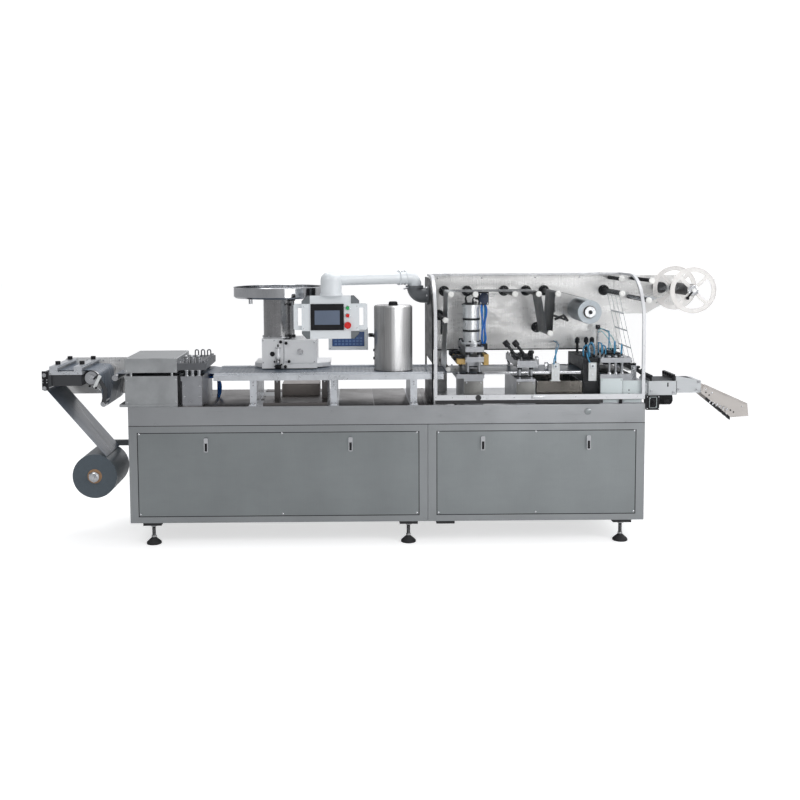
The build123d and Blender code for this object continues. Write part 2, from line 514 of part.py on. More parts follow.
# Guide track on three full-depth legs, with a raised rail along each side of the film
with BuildPart() as track:
    slab(track_left, track_right, track_front, track_back, web_level - track_thickness, web_level)
    for y in (web_front - fit - track_rail_width, web_back + fit):
        slab(track_left, track_right, y, y + track_rail_width, web_level, web_level + track_rail_height)
    for station in track_leg_stations:
        x0, x1 = station - track_leg_width / 2, station + track_leg_width / 2
        slab(x0, x1, track_front + track_leg_inset, track_back - track_leg_inset, 0, web_level - track_thickness)
        slab(x0, x1, track_front - track_leg_foot, track_front + track_leg_inset, 0, track_leg_foot_thickness)
pieces["guide_track"] = track.part

with BuildPart() as track_support:
    slab(tray_left, tray_right, tray_front, tray_back, 0, tray_height)
    for station in tray_post_stations:
        slab(station - tray_post_size / 2, station + tray_post_size / 2, tray_back - tray_post_size, tray_back,
             tray_height, web_level - track_thickness)
pieces["track_support"] = track_support.part

with BuildPart() as film_drive:
    slab(drive_box_left, drive_box_right, drive_box_front, drive_box_back, 0, drive_box_height)
    chamfer(film_drive.edges().group_by(Axis.Z)[-1], table_corner)
pieces["film_drive"] = film_drive.part

# Forming film, whole from the roll to the punch
with BuildPart() as forming_film:
    web([(roll_station, roll_height, roll_radius + half_web),
         around(end_roller_station, end_roller_lower, idle_radius, -1),
         around(end_roller_station, end_roller_upper, idle_radius, -1),
         around(drum_station, drum_height, drum_radius, -1), around(dancer_station, dancer_height, idle_radius, 1),
         around(entry_station, entry_height, idle_radius, -1), (former_right, web_high_level, 0),
         (track_left + track_rail_width, web_level + half_web, 0), (punch_left, web_level + half_web, 0)],
        web_front, web_back, start_gap=roll_clear_run)
pieces["forming_film"] = forming_film.part

# Pill feeder: base on two columns, housing in two parts, drum with its drop tube, and open bowl
base_bottom = web_level + track_rail_height
base_top = base_bottom + feeder_base_thickness
housing_top = base_top + housing_height
with BuildPart() as feeder_housing:
    slab(feeder_base_left, feeder_base_right, feeder_base_front, feeder_base_back, base_bottom, base_top)
    chamfer(feeder_housing.edges().filter_by(Axis.Z).group_by(Axis.Y)[0], feeder_base_corner)
    for station in feeder_column_stations:
        slab(station - feeder_column_size / 2, station + feeder_column_size / 2,
             feeder_column_depth - feeder_column_size / 2, feeder_column_depth + feeder_column_size / 2,
             0, base_bottom)
    slab(housing_left, housing_split, housing_front, housing_back, base_top, housing_top)
    slab(housing_split, housing_right, housing_front + housing_step, housing_back, base_top, housing_top - housing_step)
    slab(housing_split + housing_step, housing_right - housing_step, housing_front, housing_front + housing_step,
         base_top + housing_step, housing_top - 2 * housing_step)
    slab(housing_left, housing_right, housing_front, feeder_base_front, base_bottom, base_top)
    rod_back((housing_split + housing_right) / 2, (base_top + housing_top) / 2, housing_front - housing_door,
             housing_front, housing_knob_radius)
    rod_up(gate_cylinder_station, housing_front - gate_cylinder_radius / 2, gate_cylinder_bottom, gate_cylinder_top,
           gate_cylinder_radius)
pieces["feeder_housing"] = feeder_housing.part

drum_top = housing_top + feeder_drum_height
tube_x, tube_y = feeder_station + tube_offset, feeder_depth + tube_depth
with BuildPart() as feeder_drum:
    rod_up(feeder_station, feeder_depth, housing_top, drum_top, feeder_drum_radius)
    rod_up(tube_x, tube_y, housing_top - housing_step, drum_top, tube_radius)
pieces["feeder_drum"] = feeder_drum.part

with BuildPart() as bowl:
    with BuildSketch(Plane(origin=(feeder_station, feeder_depth, drum_top), x_dir=(1, 0, 0), z_dir=(0, -1, 0))):
        with BuildLine():
            Polyline((0, 0), (bowl_radius - bowl_bevel, 0), (bowl_radius, bowl_bevel), (bowl_radius, bowl_height),
                     (bowl_radius - bowl_wall, bowl_height), (bowl_radius - bowl_wall, bowl_bevel),
                     (bowl_radius - bowl_bevel, bowl_wall), (0, bowl_wall), close=True)
        make_face()
    revolve(axis=Axis((feeder_station, feeder_depth, 0), (0, 0, 1)))
    rod_up(feeder_station - bowl_peg_reach, feeder_depth, drum_top - bowl_peg_length, drum_top, bowl_peg_radius)
pieces["feeder_bowl"] = bowl.part

# Cylindrical cover, and the controller box held beside it
cover_top = web_level + web_thickness + cover_height
with BuildPart() as cover:
    rod_up(cover_station, cover_depth, web_level + web_thickness, cover_top, cover_radius)
    chamfer(cover.faces().sort_by(Axis.Z)[-1].edges(), cover_bevel)
pieces["cylinder_cover"] = cover.part

controller_top = controller_bottom + controller_height
with BuildPart() as controller:
    slab(controller_left, controller_right, controller_front, controller_front + controller_depth,
         controller_bottom, controller_top)
    slab(controller_left + controller_edge, controller_right - controller_edge, controller_front,
         controller_front + controller_bar_inset, controller_bottom + controller_edge,
         controller_top - controller_edge, Mode.SUBTRACT)
    slab(controller_right, cover_station, controller_front + controller_bar_inset,
         controller_front + controller_bar_inset + controller_bar_depth,
         controller_top - controller_bar_drop, controller_top - controller_bar_drop + controller_bar_height)
    rod_up(cover_station, cover_depth, controller_bottom, controller_top, cover_radius + fit, Mode.SUBTRACT)
pieces["controller_box"] = controller.part

# Swinging arm: a thick elbow over the screen box, and a tube to a casting on the swivel
arm_height = cover_top + cover_knob_height + arm_clearance
screen_top = arm_height - screen_drop
screen_bottom = screen_top - screen_height
screen_back = screen_front + screen_depth
swing_level = arm_height - swing_drop
elbow = (screen_station + elbow_offset, (screen_front + screen_back) / 2, arm_height)
over_swivel = (swing_station, swing_depth, arm_height)
with BuildPart() as swing_arm:
    rod_up(elbow[0], elbow[1], screen_top + running_gap, arm_height + arm_radius + elbow_rise, elbow_radius)
    fillet(swing_arm.faces().sort_by(Axis.Z)[-1].edges(), elbow_round)
    with BuildLine() as arm_path:
        FilletPolyline(elbow, over_swivel, (swing_station, swing_depth, swing_level), radius=swing_bend)
    with BuildSketch(Plane(origin=arm_path.line @ 0, z_dir=arm_path.line % 0)) as arm_section:
        Circle(arm_radius)
    sweep(arm_section.sketch, path=arm_path.line)
    arm_run = Vector(*over_swivel) - Vector(*elbow)
    coupling = [Vector(*elbow) + arm_run * share for share in (arm_coupling_start, arm_coupling_end)]
    with BuildLine() as casting_path:
        FilletPolyline(coupling[1], over_swivel, (swing_station, swing_depth, swing_level), radius=swing_bend)
    with BuildSketch(Plane(origin=casting_path.line @ 0, z_dir=casting_path.line % 0)) as casting_section:
        Circle(swing_casting_radius)
    sweep(casting_section.sketch, path=casting_path.line)
    rod(coupling[0], arm_run, (coupling[1] - coupling[0]).length, swing_casting_radius)
    rod_up(elbow[0], elbow[1], screen_top + running_gap, screen_top + running_gap + arm_collar_length,
           arm_collar_radius)
pieces["swing_arm"] = swing_arm.part

# Bracket below the swivel: a bent casting, flanged to the end plate
swivel_level = swing_level - running_gap
bracket_level = arm_height - lower_elbow_drop
with BuildPart() as arm_bracket:
    with BuildLine() as bracket_path:
        FilletPolyline((swing_station, swing_depth, swivel_level), (swing_station, swing_depth, bracket_level),
                       (end_plate_station, swing_depth, bracket_level), radius=lower_elbow_bend)
    with BuildSketch(Plane(origin=bracket_path.line @ 0, z_dir=bracket_path.line % 0)) as bracket_section:
        Circle(lower_elbow_radius)
    sweep(bracket_section.sketch, path=bracket_path.line)
    rod_up(swing_station, swing_depth, swivel_level - swivel_collar_height, swivel_level, swivel_collar_radius)
    rod_along(end_plate_station - lower_flange_thickness, end_plate_station, swing_depth, bracket_level,
              lower_flange_radius)
pieces["arm_bracket"] = arm_bracket.part

# Operator panel: box with a grip on each side, black corners and bezel, display and buttons
bezel_station, bezel_bottom = screen_station + bezel_offset, screen_bottom + bezel_rise
bezel_top = bezel_bottom + bezel_height
bezel_face = screen_front - bezel_thickness
corners = [(side, level, up) for side in (-1, 1) for level, up in ((screen_bottom, 1), (screen_top, -1))]
with BuildPart() as screen_box:
    slab(screen_station - screen_width / 2, screen_station + screen_width / 2, screen_front, screen_back,
         screen_bottom, screen_top)
    for side, level, up in corners:
        edge = screen_station + side * screen_width / 2
        with Locations((edge - side * corner_width / 2, (screen_front + screen_back) / 2, level + up * corner_height / 2)):
            Box(corner_width, screen_depth, corner_height, mode=Mode.SUBTRACT)
    for side in (-1, 1):
        with BuildSketch(upright(screen_back)) as grip:
            with Locations((screen_station + side * (screen_width + grip_reach) / 2, bezel_bottom + bezel_height / 2)):
                Rectangle(grip_reach, bezel_height)
            fillet(grip.vertices().group_by(Axis.X)[0 if side < 0 else -1], grip_round)
            with Locations((screen_station + side * (screen_width + grip_hole) / 2, bezel_bottom + bezel_height / 2)):
                Rectangle(grip_hole, bezel_height - 2 * grip_width, mode=Mode.SUBTRACT)
        extrude(grip.sketch, amount=grip_depth)
pieces["screen_box"] = screen_box.part

with BuildPart() as bezel:
    slab(bezel_station - bezel_width / 2, bezel_station + bezel_width / 2, bezel_face, screen_front,
         bezel_bottom, bezel_top)
    display_middle = bezel_bottom + bezel_height / 2 - display_drop
    slab(bezel_station - display_width / 2, bezel_station + display_width / 2, bezel_face,
         bezel_face + display_recess, display_middle - display_height / 2, display_middle + display_height / 2,
         Mode.SUBTRACT)
    for side, level, up in corners:
        edge = screen_station + side * screen_width / 2
        inner, cut = edge - side * corner_width, edge - side * screen_corner
        profile([(inner, level), (cut, level), (edge, level + up * screen_corner), (edge, level + up * corner_height),
                 (inner, level + up * corner_height)], screen_front - corner_lip, screen_back)
pieces["screen_bezel"] = bezel.part

with BuildPart() as display:
    slab(bezel_station - display_width / 2, bezel_station + display_width / 2,
         bezel_face + display_recess - display_sheet, bezel_face + display_recess,
         display_middle - display_height / 2, display_middle + display_height / 2)
pieces["touch_display"] = display.part

button_x = screen_station + button_offset
with BuildPart() as green_button:
    rod_back(button_x, screen_bottom + green_rise, screen_front - button_length, screen_front, button_radius)
pieces["green_button"] = green_button.part

with BuildPart() as red_buttons:
    rod_back(button_x, screen_bottom + red_rise, screen_front - button_length, screen_front, button_radius)
    rod_back(button_x, screen_bottom + stop_rise, screen_front - stop_length, screen_front - stop_length / 2, stop_radius)
    rod_back(button_x, screen_bottom + stop_rise, screen_front - stop_length / 2, screen_front, button_radius)
pieces["red_buttons"] = red_buttons.part

# End plate with a curved front corner and a notch for the track
hood_top = roller_panel_top + hood_rise
bend_level = hood_top - hood_bend
plate_bend = hood_bend - (end_plate_front - hood_front)
notch = (web_level - end_notch_below, web_level + end_notch_above)
with BuildPart() as end_plate:
    with BuildSketch(Plane(origin=(end_plate_station, 0, 0), x_dir=(0, 1, 0), z_dir=(1, 0, 0))):
        with BuildLine():
            Line((end_plate_front, 0), (end_plate_front, bend_level))
            RadiusArc((end_plate_front, bend_level), (end_plate_front + plate_bend, bend_level + plate_bend), plate_bend)
            Polyline((end_plate_front + plate_bend, bend_level + plate_bend), (end_plate_back, bend_level + plate_bend),
                     (end_plate_back, 0), (end_plate_front, 0))
        make_face()
        with Locations(((end_plate_front + end_notch_back) / 2, sum(notch) / 2)):
            Rectangle(end_notch_back - end_plate_front, notch[1] - notch[0], mode=Mode.SUBTRACT)
    extrude(amount=end_plate_thickness)
pieces["end_plate"] = end_plate.part

# Roller panel on two columns, joined to the end plate, with the outer knuckles and pins of the hood's hinges
hood_edge = roller_panel_front - hinge_leaf - hinge_setback
hinge_y = hood_edge + hinge_leaf
hinge_z = roller_panel_top + hinge_radius + hinge_lift
with BuildPart() as roller_panel:
    slab(roller_panel_left, roller_panel_right, roller_panel_front, roller_panel_back,
         roller_panel_bottom, roller_panel_top)
    slab(end_plate_station + end_plate_thickness, roller_panel_left, roller_panel_front, end_plate_back,
         roller_panel_bottom, bend_level + plate_bend)
    for station in panel_column_stations:
        slab(station - panel_column_width / 2, station + panel_column_width / 2, roller_panel_front,
             roller_panel_front + panel_column_depth, 0, roller_panel_bottom)
    for station in hinge_stations:
        rod_along(station - 1.5 * hinge_knuckle, station + 1.5 * hinge_knuckle, hinge_y, hinge_z, hinge_pin_radius)
        for x0 in (station - 1.5 * hinge_knuckle, station + 0.5 * hinge_knuckle):
            rod_along(x0, x0 + hinge_knuckle, hinge_y, hinge_z, hinge_radius)
            slab(x0, x0 + hinge_knuckle, roller_panel_front, hinge_y + 2 * hinge_radius, roller_panel_top, hinge_z)
pieces["roller_panel"] = roller_panel.part

# Rollers that stand out from the panel, each with a flange and a cap, and the shaft of the lidding roll
top_level = roller_panel_top - top_roller_drop
lid_level = roller_panel_top - lid_roll_drop
waste_level = roller_panel_top - waste_roller_drop
foil_guide_level = web_level + foil_guide_rise
low_point = (low_roller_station, roller_panel_top - low_roller_drop)
tension_point = (tension_station, roller_panel_top - tension_drop)
panel_points = [(station, top_level) for station in top_roller_stations]
panel_points += [low_point, tension_point, (waste_roller_station, waste_level)]
guide_point = (foil_guide_station, foil_guide_level)
with BuildPart() as web_rollers:
    for station, height in panel_points:
        rod_back(station, height, roller_front, roller_panel_front, roller_radius)
        rod_back(station, height, roller_panel_front - roller_flange_thickness, roller_panel_front,
                 roller_flange_radius)
    rod_back(*guide_point, roller_front, roller_panel_front, roller_radius)
    rod_back(lid_roll_station, lid_level, foil_front - lid_shaft_end, roller_panel_front, lid_shaft_radius)
    rod_back(lid_roll_station, lid_level, foil_back + running_gap, roller_panel_front, roller_flange_radius)
pieces["web_rollers"] = web_rollers.part

with BuildPart() as roller_caps:
    for station, height in panel_points:
        rod_back(station, height, roller_front - roller_cap_thickness, roller_front, roller_cap_radius)
    rod_back(*guide_point, roller_front - roller_cap_thickness, roller_front, roller_radius)
pieces["roller_caps"] = roller_caps.part

with BuildPart() as lid_roll:
    rod_back(lid_roll_station, lid_level, foil_front, foil_back, lid_roll_radius)
    rod_back(lid_roll_station, lid_level, foil_front, foil_back, lid_core_radius, Mode.SUBTRACT)
pieces["lidding_roll"] = lid_roll.part

with BuildPart() as lid_core:
    rod_back(lid_roll_station, lid_level, foil_front, foil_back, lid_core_radius)
    rod_back(lid_roll_station, lid_level, foil_front, foil_back, lid_shaft_radius + shaft_gap, Mode.SUBTRACT)
pieces["lidding_core"] = lid_core.part

# Lidding foil, whole from the roll over the rollers and down to the film at the seal station
foil_path = [(lid_roll_station, lid_level, lid_roll_radius + half_web), around(*panel_points[4], roller_radius, 1),
             around(*tension_point, roller_radius, -1)]
foil_path += [around(*point, roller_radius, 1) for point in reversed(panel_points[:4])]
foil_path += [around(*low_point, roller_radius, -1), around(*guide_point, roller_radius, 1)]
foil_level = foil_guide_level - roller_radius - fit - half_web
with BuildPart() as lidding_foil:
    web([*foil_path, (seal_right, foil_level, 0)], foil_front, foil_back, start_gap=roll_clear_run)
pieces["lidding_foil"] = lidding_foil.part

# Heat-seal station: frame with pillars and a head, cylinder, and the platen that it lowers
base_level = seal_block_height + seal_base_thickness
head_top = seal_head_level + seal_head_thickness
head_front, head_back = seal_pillar_depths[0] - seal_head_margin, seal_pillar_depths[1] + seal_head_margin
seal_pillars = [(station, y) for station in seal_pillar_stations for y in seal_pillar_depths]
with BuildPart() as seal_frame:
    slab(seal_left, seal_right, station_front, station_back, 0, seal_block_height)
    slab(seal_base_left, seal_base_right, station_front, station_back, seal_block_height, base_level)
    slab(seal_head_left, seal_head_right, head_front, head_back, seal_head_level, head_top)
    for station, y in seal_pillars:
        rod_up(station, y, base_level, head_top + seal_pillar_radius, seal_pillar_radius)
    rod_up(cylinder_station, cylinder_depth, seal_head_level, head_top, ram_radius + shaft_gap, Mode.SUBTRACT)
pieces["seal_frame"] = seal_frame.part

cylinder_top = head_top + cylinder_height
with BuildPart() as cylinder:
    rod_up(cylinder_station, cylinder_depth, head_top, cylinder_top, cylinder_radius)
    for level in cylinder_band_levels:
        rod_up(cylinder_station, cylinder_depth, head_top + level, head_top + level + cylinder_band,
               cylinder_radius + cylinder_band_proud)
    for level in (head_top, cylinder_top - cylinder_flange_thickness):
        rod_up(cylinder_station, cylinder_depth, level, level + cylinder_flange_thickness, cylinder_flange_radius)
    rod_up(cylinder_station, cylinder_depth, head_top, head_top + ram_reach + ram_stroke,
           ram_radius + shaft_gap, Mode.SUBTRACT)
pieces["seal_cylinder"] = cylinder.part

platen_top = platen_level + platen_thickness
with BuildPart() as platen:
    slab(seal_head_left, seal_head_right, head_front, head_back, platen_level, platen_top)
    slab(seal_head_left + die_side_margin, seal_head_right - die_side_margin, web_front + die_front_margin,
         web_back - die_back_margin, platen_level - die_drop, platen_level)
    rod_up(cylinder_station, cylinder_depth, platen_top, head_top + ram_reach, ram_radius)
    for station, y in seal_pillars:
        rod_up(station, y, platen_level, platen_top, seal_pillar_radius + shaft_gap, Mode.SUBTRACT)
pieces["seal_platen"] = platen.part

# Indexing station, the bin after it, and two sensor brackets, one on the bin's rim and one on the cutter
index_top = index_plate_level + index_plate_thickness
with BuildPart() as index_station:
    slab(index_left, index_right, station_front, station_back, 0, index_block_height)
    slab(index_plate_left, index_plate_right, station_front, station_back, index_plate_level, index_top)
    for station in index_pillar_stations:
        for y in former_rows:
            rod_up(station, y, index_block_height, index_plate_level, index_pillar_radius)
pieces["indexing_station"] = index_station.part

with BuildPart() as scrap_bin:
    slab(bin_left, bin_right, bin_front, bin_back, 0, bin_height)
    slab(bin_left + bin_wall, bin_right - bin_wall, bin_front + bin_wall, bin_back - bin_wall,
         bin_wall, bin_height, Mode.SUBTRACT)
pieces["scrap_bin"] = scrap_bin.part

with BuildPart() as sensor_brackets:
    for station in sensor_stations:
        slab(station - sensor_width / 2, station + sensor_width / 2, sensor_front, sensor_front + sensor_sheet,
             bin_height, bin_height + sensor_height)
    slab(sensor_stations[0] - sensor_foot_width / 2, sensor_stations[0] + sensor_foot_width / 2, sensor_front,
         sensor_front + sensor_foot_depth, bin_height, bin_height + sensor_foot_thickness)
pieces["sensor_brackets"] = sensor_brackets.part

# Punching station with the gear box after it, and cheeks for the roller that turns the waste web
punch_floor = punch_box_height + punch_plate_thickness
punch_top = punch_head_level + punch_head_thickness
turn_level = web_level + web_thickness + fit + roller_radius
cheek_depths = (foil_front - turn_margin - turn_cheek_sheet, foil_back + turn_margin)
with BuildPart() as punch_station:
    slab(punch_left, punch_right, station_front, station_back, 0, punch_floor)
    slab(punch_right, gear_box_right, station_front, station_back, 0, gear_box_height)
    slab(punch_left, punch_right, station_front, station_back, punch_head_level, punch_top)
    for station in punch_pillar_stations:
        for y in former_rows:
            rod_up(station, y, punch_floor, punch_head_level, punch_pillar_radius)
    for y in cheek_depths:
        slab(turn_station - turn_cheek_width / 2, turn_station + turn_cheek_width / 2, y, y + turn_cheek_sheet,
             gear_box_height, turn_level + turn_cheek_rise / 2)
pieces["punch_station"] = punch_station.part

# Cutter before the punch, with a slot for the film; gauges on it and on the punch; the turning roller
cutter_front = sensor_front + sensor_sheet
with BuildPart() as cutter:
    slab(cutter_left, punch_left, cutter_front, station_back, 0, cutter_rise)
    slab(cutter_left, punch_left, cutter_front + cutter_front_wall, station_back - cutter_back_wall, *cutter_slot,
         Mode.SUBTRACT)
    rod_back(turn_station, turn_level, cheek_depths[0] + turn_cheek_sheet, cheek_depths[1], roller_radius)
    for station, height in zip(gauge_stations, gauge_heights):
        rod_up(station, gauge_depth, cutter_rise if station < punch_left else punch_top, height, gauge_radius)
        rod_up(station, gauge_depth, height, height + gauge_knob_height, gauge_knob_radius)

# Waste web that the punch leaves: a grid, turned up to the roller panel and on to the scrap reel
reel_level = roller_panel_top - reel_drop
waste_guide = (waste_guide_station, roller_panel_top - waste_guide_drop)
waste_path = [(punch_right, web_level + half_web, 0), around(turn_station, turn_level, roller_radius, 1),
              around(waste_roller_station, waste_level, roller_radius, -1),
              around(*waste_guide, waste_guide_radius, 1), (reel_station, reel_level, -reel_hub_radius - half_web)]
with BuildPart() as waste_web:
    strands = web(waste_path, foil_front, foil_back, end_gap=roll_clear_run)
    across = (foil_back - foil_front - waste_rib) / waste_columns
    for start, end in strands[1:]:
        length = math.dist(start, end)
        count = int((length - waste_rib) // (waste_window_length + waste_rib))
        heading = Vector(end[0] - start[0], 0, end[1] - start[1])
        middle = Plane(origin=((start[0] + end[0]) / 2, (foil_front + foil_back) / 2, (start[1] + end[1]) / 2),
                       x_dir=(0, 1, 0), z_dir=heading.cross(Vector(0, 1, 0)))
        with Locations(middle):
            with GridLocations(across, waste_window_length + waste_rib, waste_columns, count):
                Box(waste_window, waste_window_length, 4 * web_thickness, mode=Mode.SUBTRACT)
pieces["waste_web"] = waste_web.part


def hood_section(inset, thickness):
    """The bent section of the hood in the YZ plane, this far inside its outer face."""
    outer, inner = hood_bend - inset, hood_bend - inset - thickness
    bend_y = hood_front + hood_bend
    with BuildLine() as section:
        Line((bend_y - outer, hood_bottom), (bend_y - outer, bend_level))
        RadiusArc((bend_y - outer, bend_level), (bend_y, bend_level + outer), outer)
        Polyline((bend_y, bend_level + outer), (hood_edge, bend_level + outer),
                 (hood_edge, bend_level + inner), (bend_y, bend_level + inner))
        RadiusArc((bend_y, bend_level + inner), (bend_y - inner, bend_level), -inner)
        Polyline((bend_y - inner, bend_level), (bend_y - inner, hood_bottom), (bend_y - outer, hood_bottom))
    make_face(section.edges())


def hood_rails(mode=Mode.ADD):
    """The sill along the bottom of the hood and the bar along its hinged edge."""
    slab(hood_left, hood_right, hood_front, hood_front + hood_bar_depth, hood_bottom, hood_bottom + hood_sill, mode)
    slab(hood_left, hood_right, hood_edge - hood_bar, hood_edge, hood_top - hood_bar_depth, hood_top, mode)


# Hood: two bent bars, a sill and a hinge bar around a bent clear sheet
with BuildPart() as hood_frame:
    for x0 in (hood_left, hood_right - hood_bar):
        with BuildSketch(Plane(origin=(x0, 0, 0), x_dir=(0, 1, 0), z_dir=(1, 0, 0))):
            hood_section(0, hood_bar_depth)
        extrude(amount=hood_bar)
    hood_rails()
    for station in hinge_stations:
        x0, x1 = station - hinge_knuckle / 2 + running_gap, station + hinge_knuckle / 2 - running_gap
        slab(x0, x1, hood_edge, hinge_y, hinge_z - hinge_radius, hood_top)
        rod_along(x0, x1, hinge_y, hinge_z, hinge_radius)
        rod_along(x0, x1, hinge_y, hinge_z, hinge_pin_radius + shaft_gap, Mode.SUBTRACT)
pieces["hood_frame"] = hood_frame.part

with BuildPart() as hood_window:
    with BuildSketch(Plane(origin=(hood_left + hood_bar, 0, 0), x_dir=(0, 1, 0), z_dir=(1, 0, 0))):
        hood_section((hood_bar_depth - hood_sheet) / 2, hood_sheet)
    extrude(amount=hood_right - hood_left - 2 * hood_bar)
    hood_rails(Mode.SUBTRACT)
pieces["hood_window"] = hood_window.part

# Bracket that carries the reel: a sheet lapped on the panel, with guide bars and the reel's shaft and drive
plate_front = roller_panel_front - reel_plate_thickness
plate_top, plate_bottom = roller_panel_top - reel_plate_top_drop, roller_panel_top - reel_plate_drop
reel_arm_bottom = roller_panel_top - reel_arm_drop
guide_bars = [(*waste_guide, roller_front, waste_guide_radius)]
guide_bars += [(station, roller_panel_top - drop, y, spare_guide_radius) for station, drop, y in spare_guides]
with BuildPart() as reel_bracket:
    profile([(roller_panel_right - reel_plate_lap, plate_bottom), (reel_plate_right, plate_bottom),
             (reel_plate_right + reel_chamfer, reel_arm_bottom), (reel_arm_right, reel_arm_bottom),
             (reel_arm_right, plate_top), (roller_panel_right - reel_plate_lap, plate_top)],
            plate_front, roller_panel_front)
    for station, height, y, radius in guide_bars:
        seat = plate_front if station > roller_panel_right - reel_plate_lap else roller_panel_front
        rod_back(station, height, y, seat, radius)
        rod_back(station, height, y - roller_cap_thickness, y, roller_cap_radius)
    rod_back(reel_station, reel_level, reel_back + running_gap, plate_front, roller_flange_radius)
    rod_back(reel_station, reel_level, reel_front - reel_shaft_nose, reel_back + running_gap, reel_shaft_radius)
pieces["reel_bracket"] = reel_bracket.part

# Scrap reel: two spoked flanges on a hub
with BuildPart() as scrap_reel:
    for y in (reel_front, reel_back - reel_disc):
        rod_back(reel_station, reel_level, y, y + reel_disc, reel_radius)
        rod_back(reel_station, reel_level, y, y + reel_disc, reel_radius - reel_rim, Mode.SUBTRACT)
        with BuildSketch(upright(y + reel_disc)) as spokes:
            with Locations((reel_station, reel_level)):
                with PolarLocations((reel_radius - reel_rim / 2) / 2, reel_spokes, start_angle=45):
                    Rectangle(reel_radius - reel_rim / 2, reel_spoke_width)
        extrude(spokes.sketch, amount=reel_disc)
    rod_back(reel_station, reel_level, reel_front, reel_back, reel_hub_radius)
    rod_back(reel_station, reel_level, reel_front, reel_back, reel_shaft_radius + shaft_gap, Mode.SUBTRACT)
pieces["scrap_reel"] = scrap_reel.part

# Discharge conveyor in two boxes, with a side guard, a belt, and a motor and a switch box under it
belt_middle = (belt_front + belt_back) / 2
frame_top = belt_height - belt_sheet
with BuildPart() as conveyor:
    slab(belt_left, belt_split, belt_front, belt_back, belt_bottom, frame_top)
    slab(belt_split, belt_right, belt_front + belt_step, belt_back - belt_step, belt_bottom + 2 * belt_step, frame_top)
    profile([(belt_split, frame_top), (belt_right, frame_top), (belt_split, belt_height + guard_rise)],
            belt_front + belt_step, belt_front + belt_step + guard_sheet)
    slab(cabinet_length, belt_left, belt_front + belt_margin, belt_back, belt_bottom, belt_bottom + belt_bracket_height)
    slab(cabinet_length, cabinet_length + belt_flange, belt_front + belt_margin, belt_back, belt_flange_bottom,
         belt_bottom)
pieces["conveyor_frame"] = conveyor.part

with BuildPart() as belt:
    slab(belt_left, belt_right - belt_tail, belt_front + belt_margin, belt_back - belt_margin, frame_top, belt_height)
pieces["conveyor_belt"] = belt.part

motor_level = belt_bottom - motor_drop
with BuildPart() as motor:
    rod_along(motor_left, motor_left + motor_length, belt_middle, motor_level, motor_radius)
    slab(motor_left, motor_left + motor_length, belt_middle - motor_radius, belt_middle + motor_radius,
         motor_level, belt_bottom)
    slab(switch_left, switch_left + switch_width, belt_front - switch_lead, belt_front - switch_lead + switch_depth,
         belt_bottom - switch_height, belt_bottom)
pieces["conveyor_motor"] = motor.part

# Discharge chute: two side walls with a floor between them, hung on the conveyor's end by a flange
slope = math.radians(chute_slope)


def on_chute(length, height):
    """A point of the chute, from its length down the slope and its height over the floor."""
    return (belt_right + fit + math.cos(slope) * length + math.sin(slope) * max(height, 0),
            chute_start_height - math.sin(slope) * length + math.cos(slope) * height)


with BuildPart() as chute:
    for y in (chute_front, chute_back - chute_sheet):
        profile([on_chute(*point) for point in chute_side], y, y + chute_sheet)
    profile([on_chute(0, chute_floor - chute_sheet), on_chute(0, chute_floor),
             on_chute(chute_side[1][0], chute_floor), on_chute(chute_side[1][0], chute_floor - chute_sheet)],
            chute_front, chute_back)
    slab(belt_right, belt_right + 2 * chute_sheet, chute_front, chute_back, belt_bottom + 2 * belt_step,
         chute_start_height + chute_floor)
pieces["discharge_chute"] = chute.part

# Black fittings: knobs, valve, toggle clamps, hood stops, press bar over the belt, tension lever and chute cleats
with BuildPart() as knobs:
    for station in clamp_stations:
        for y in (station_front + clamp_knob_front, station_back - clamp_knob_back):
            rod_up(station, y, clamp_top, clamp_top + knob_height, knob_radius)
    rod_up(cover_station, cover_depth, cover_top, cover_top + cover_knob_height, cover_knob_radius)
    fillet(knobs.faces().filter_by(Axis.Z).group_by(SortBy.AREA)[-1].sort_by(Axis.Z)[-1].edges(), knob_round)
    for level in (housing_top, drum_top - tube_collar_height):
        with BuildSketch(Plane.XY.offset(level)) as collar:
            with Locations((tube_x, tube_y)):
                Circle(tube_collar_radius)
                Circle(tube_radius, mode=Mode.SUBTRACT)
            with Locations((feeder_station, feeder_depth)):
                Circle(feeder_drum_radius, mode=Mode.SUBTRACT)
        extrude(collar.sketch, amount=tube_collar_height)
    for station in stop_stations:
        rod_up(station, front + stop_post_inset, 0, hood_bottom - fit, stop_post_radius)

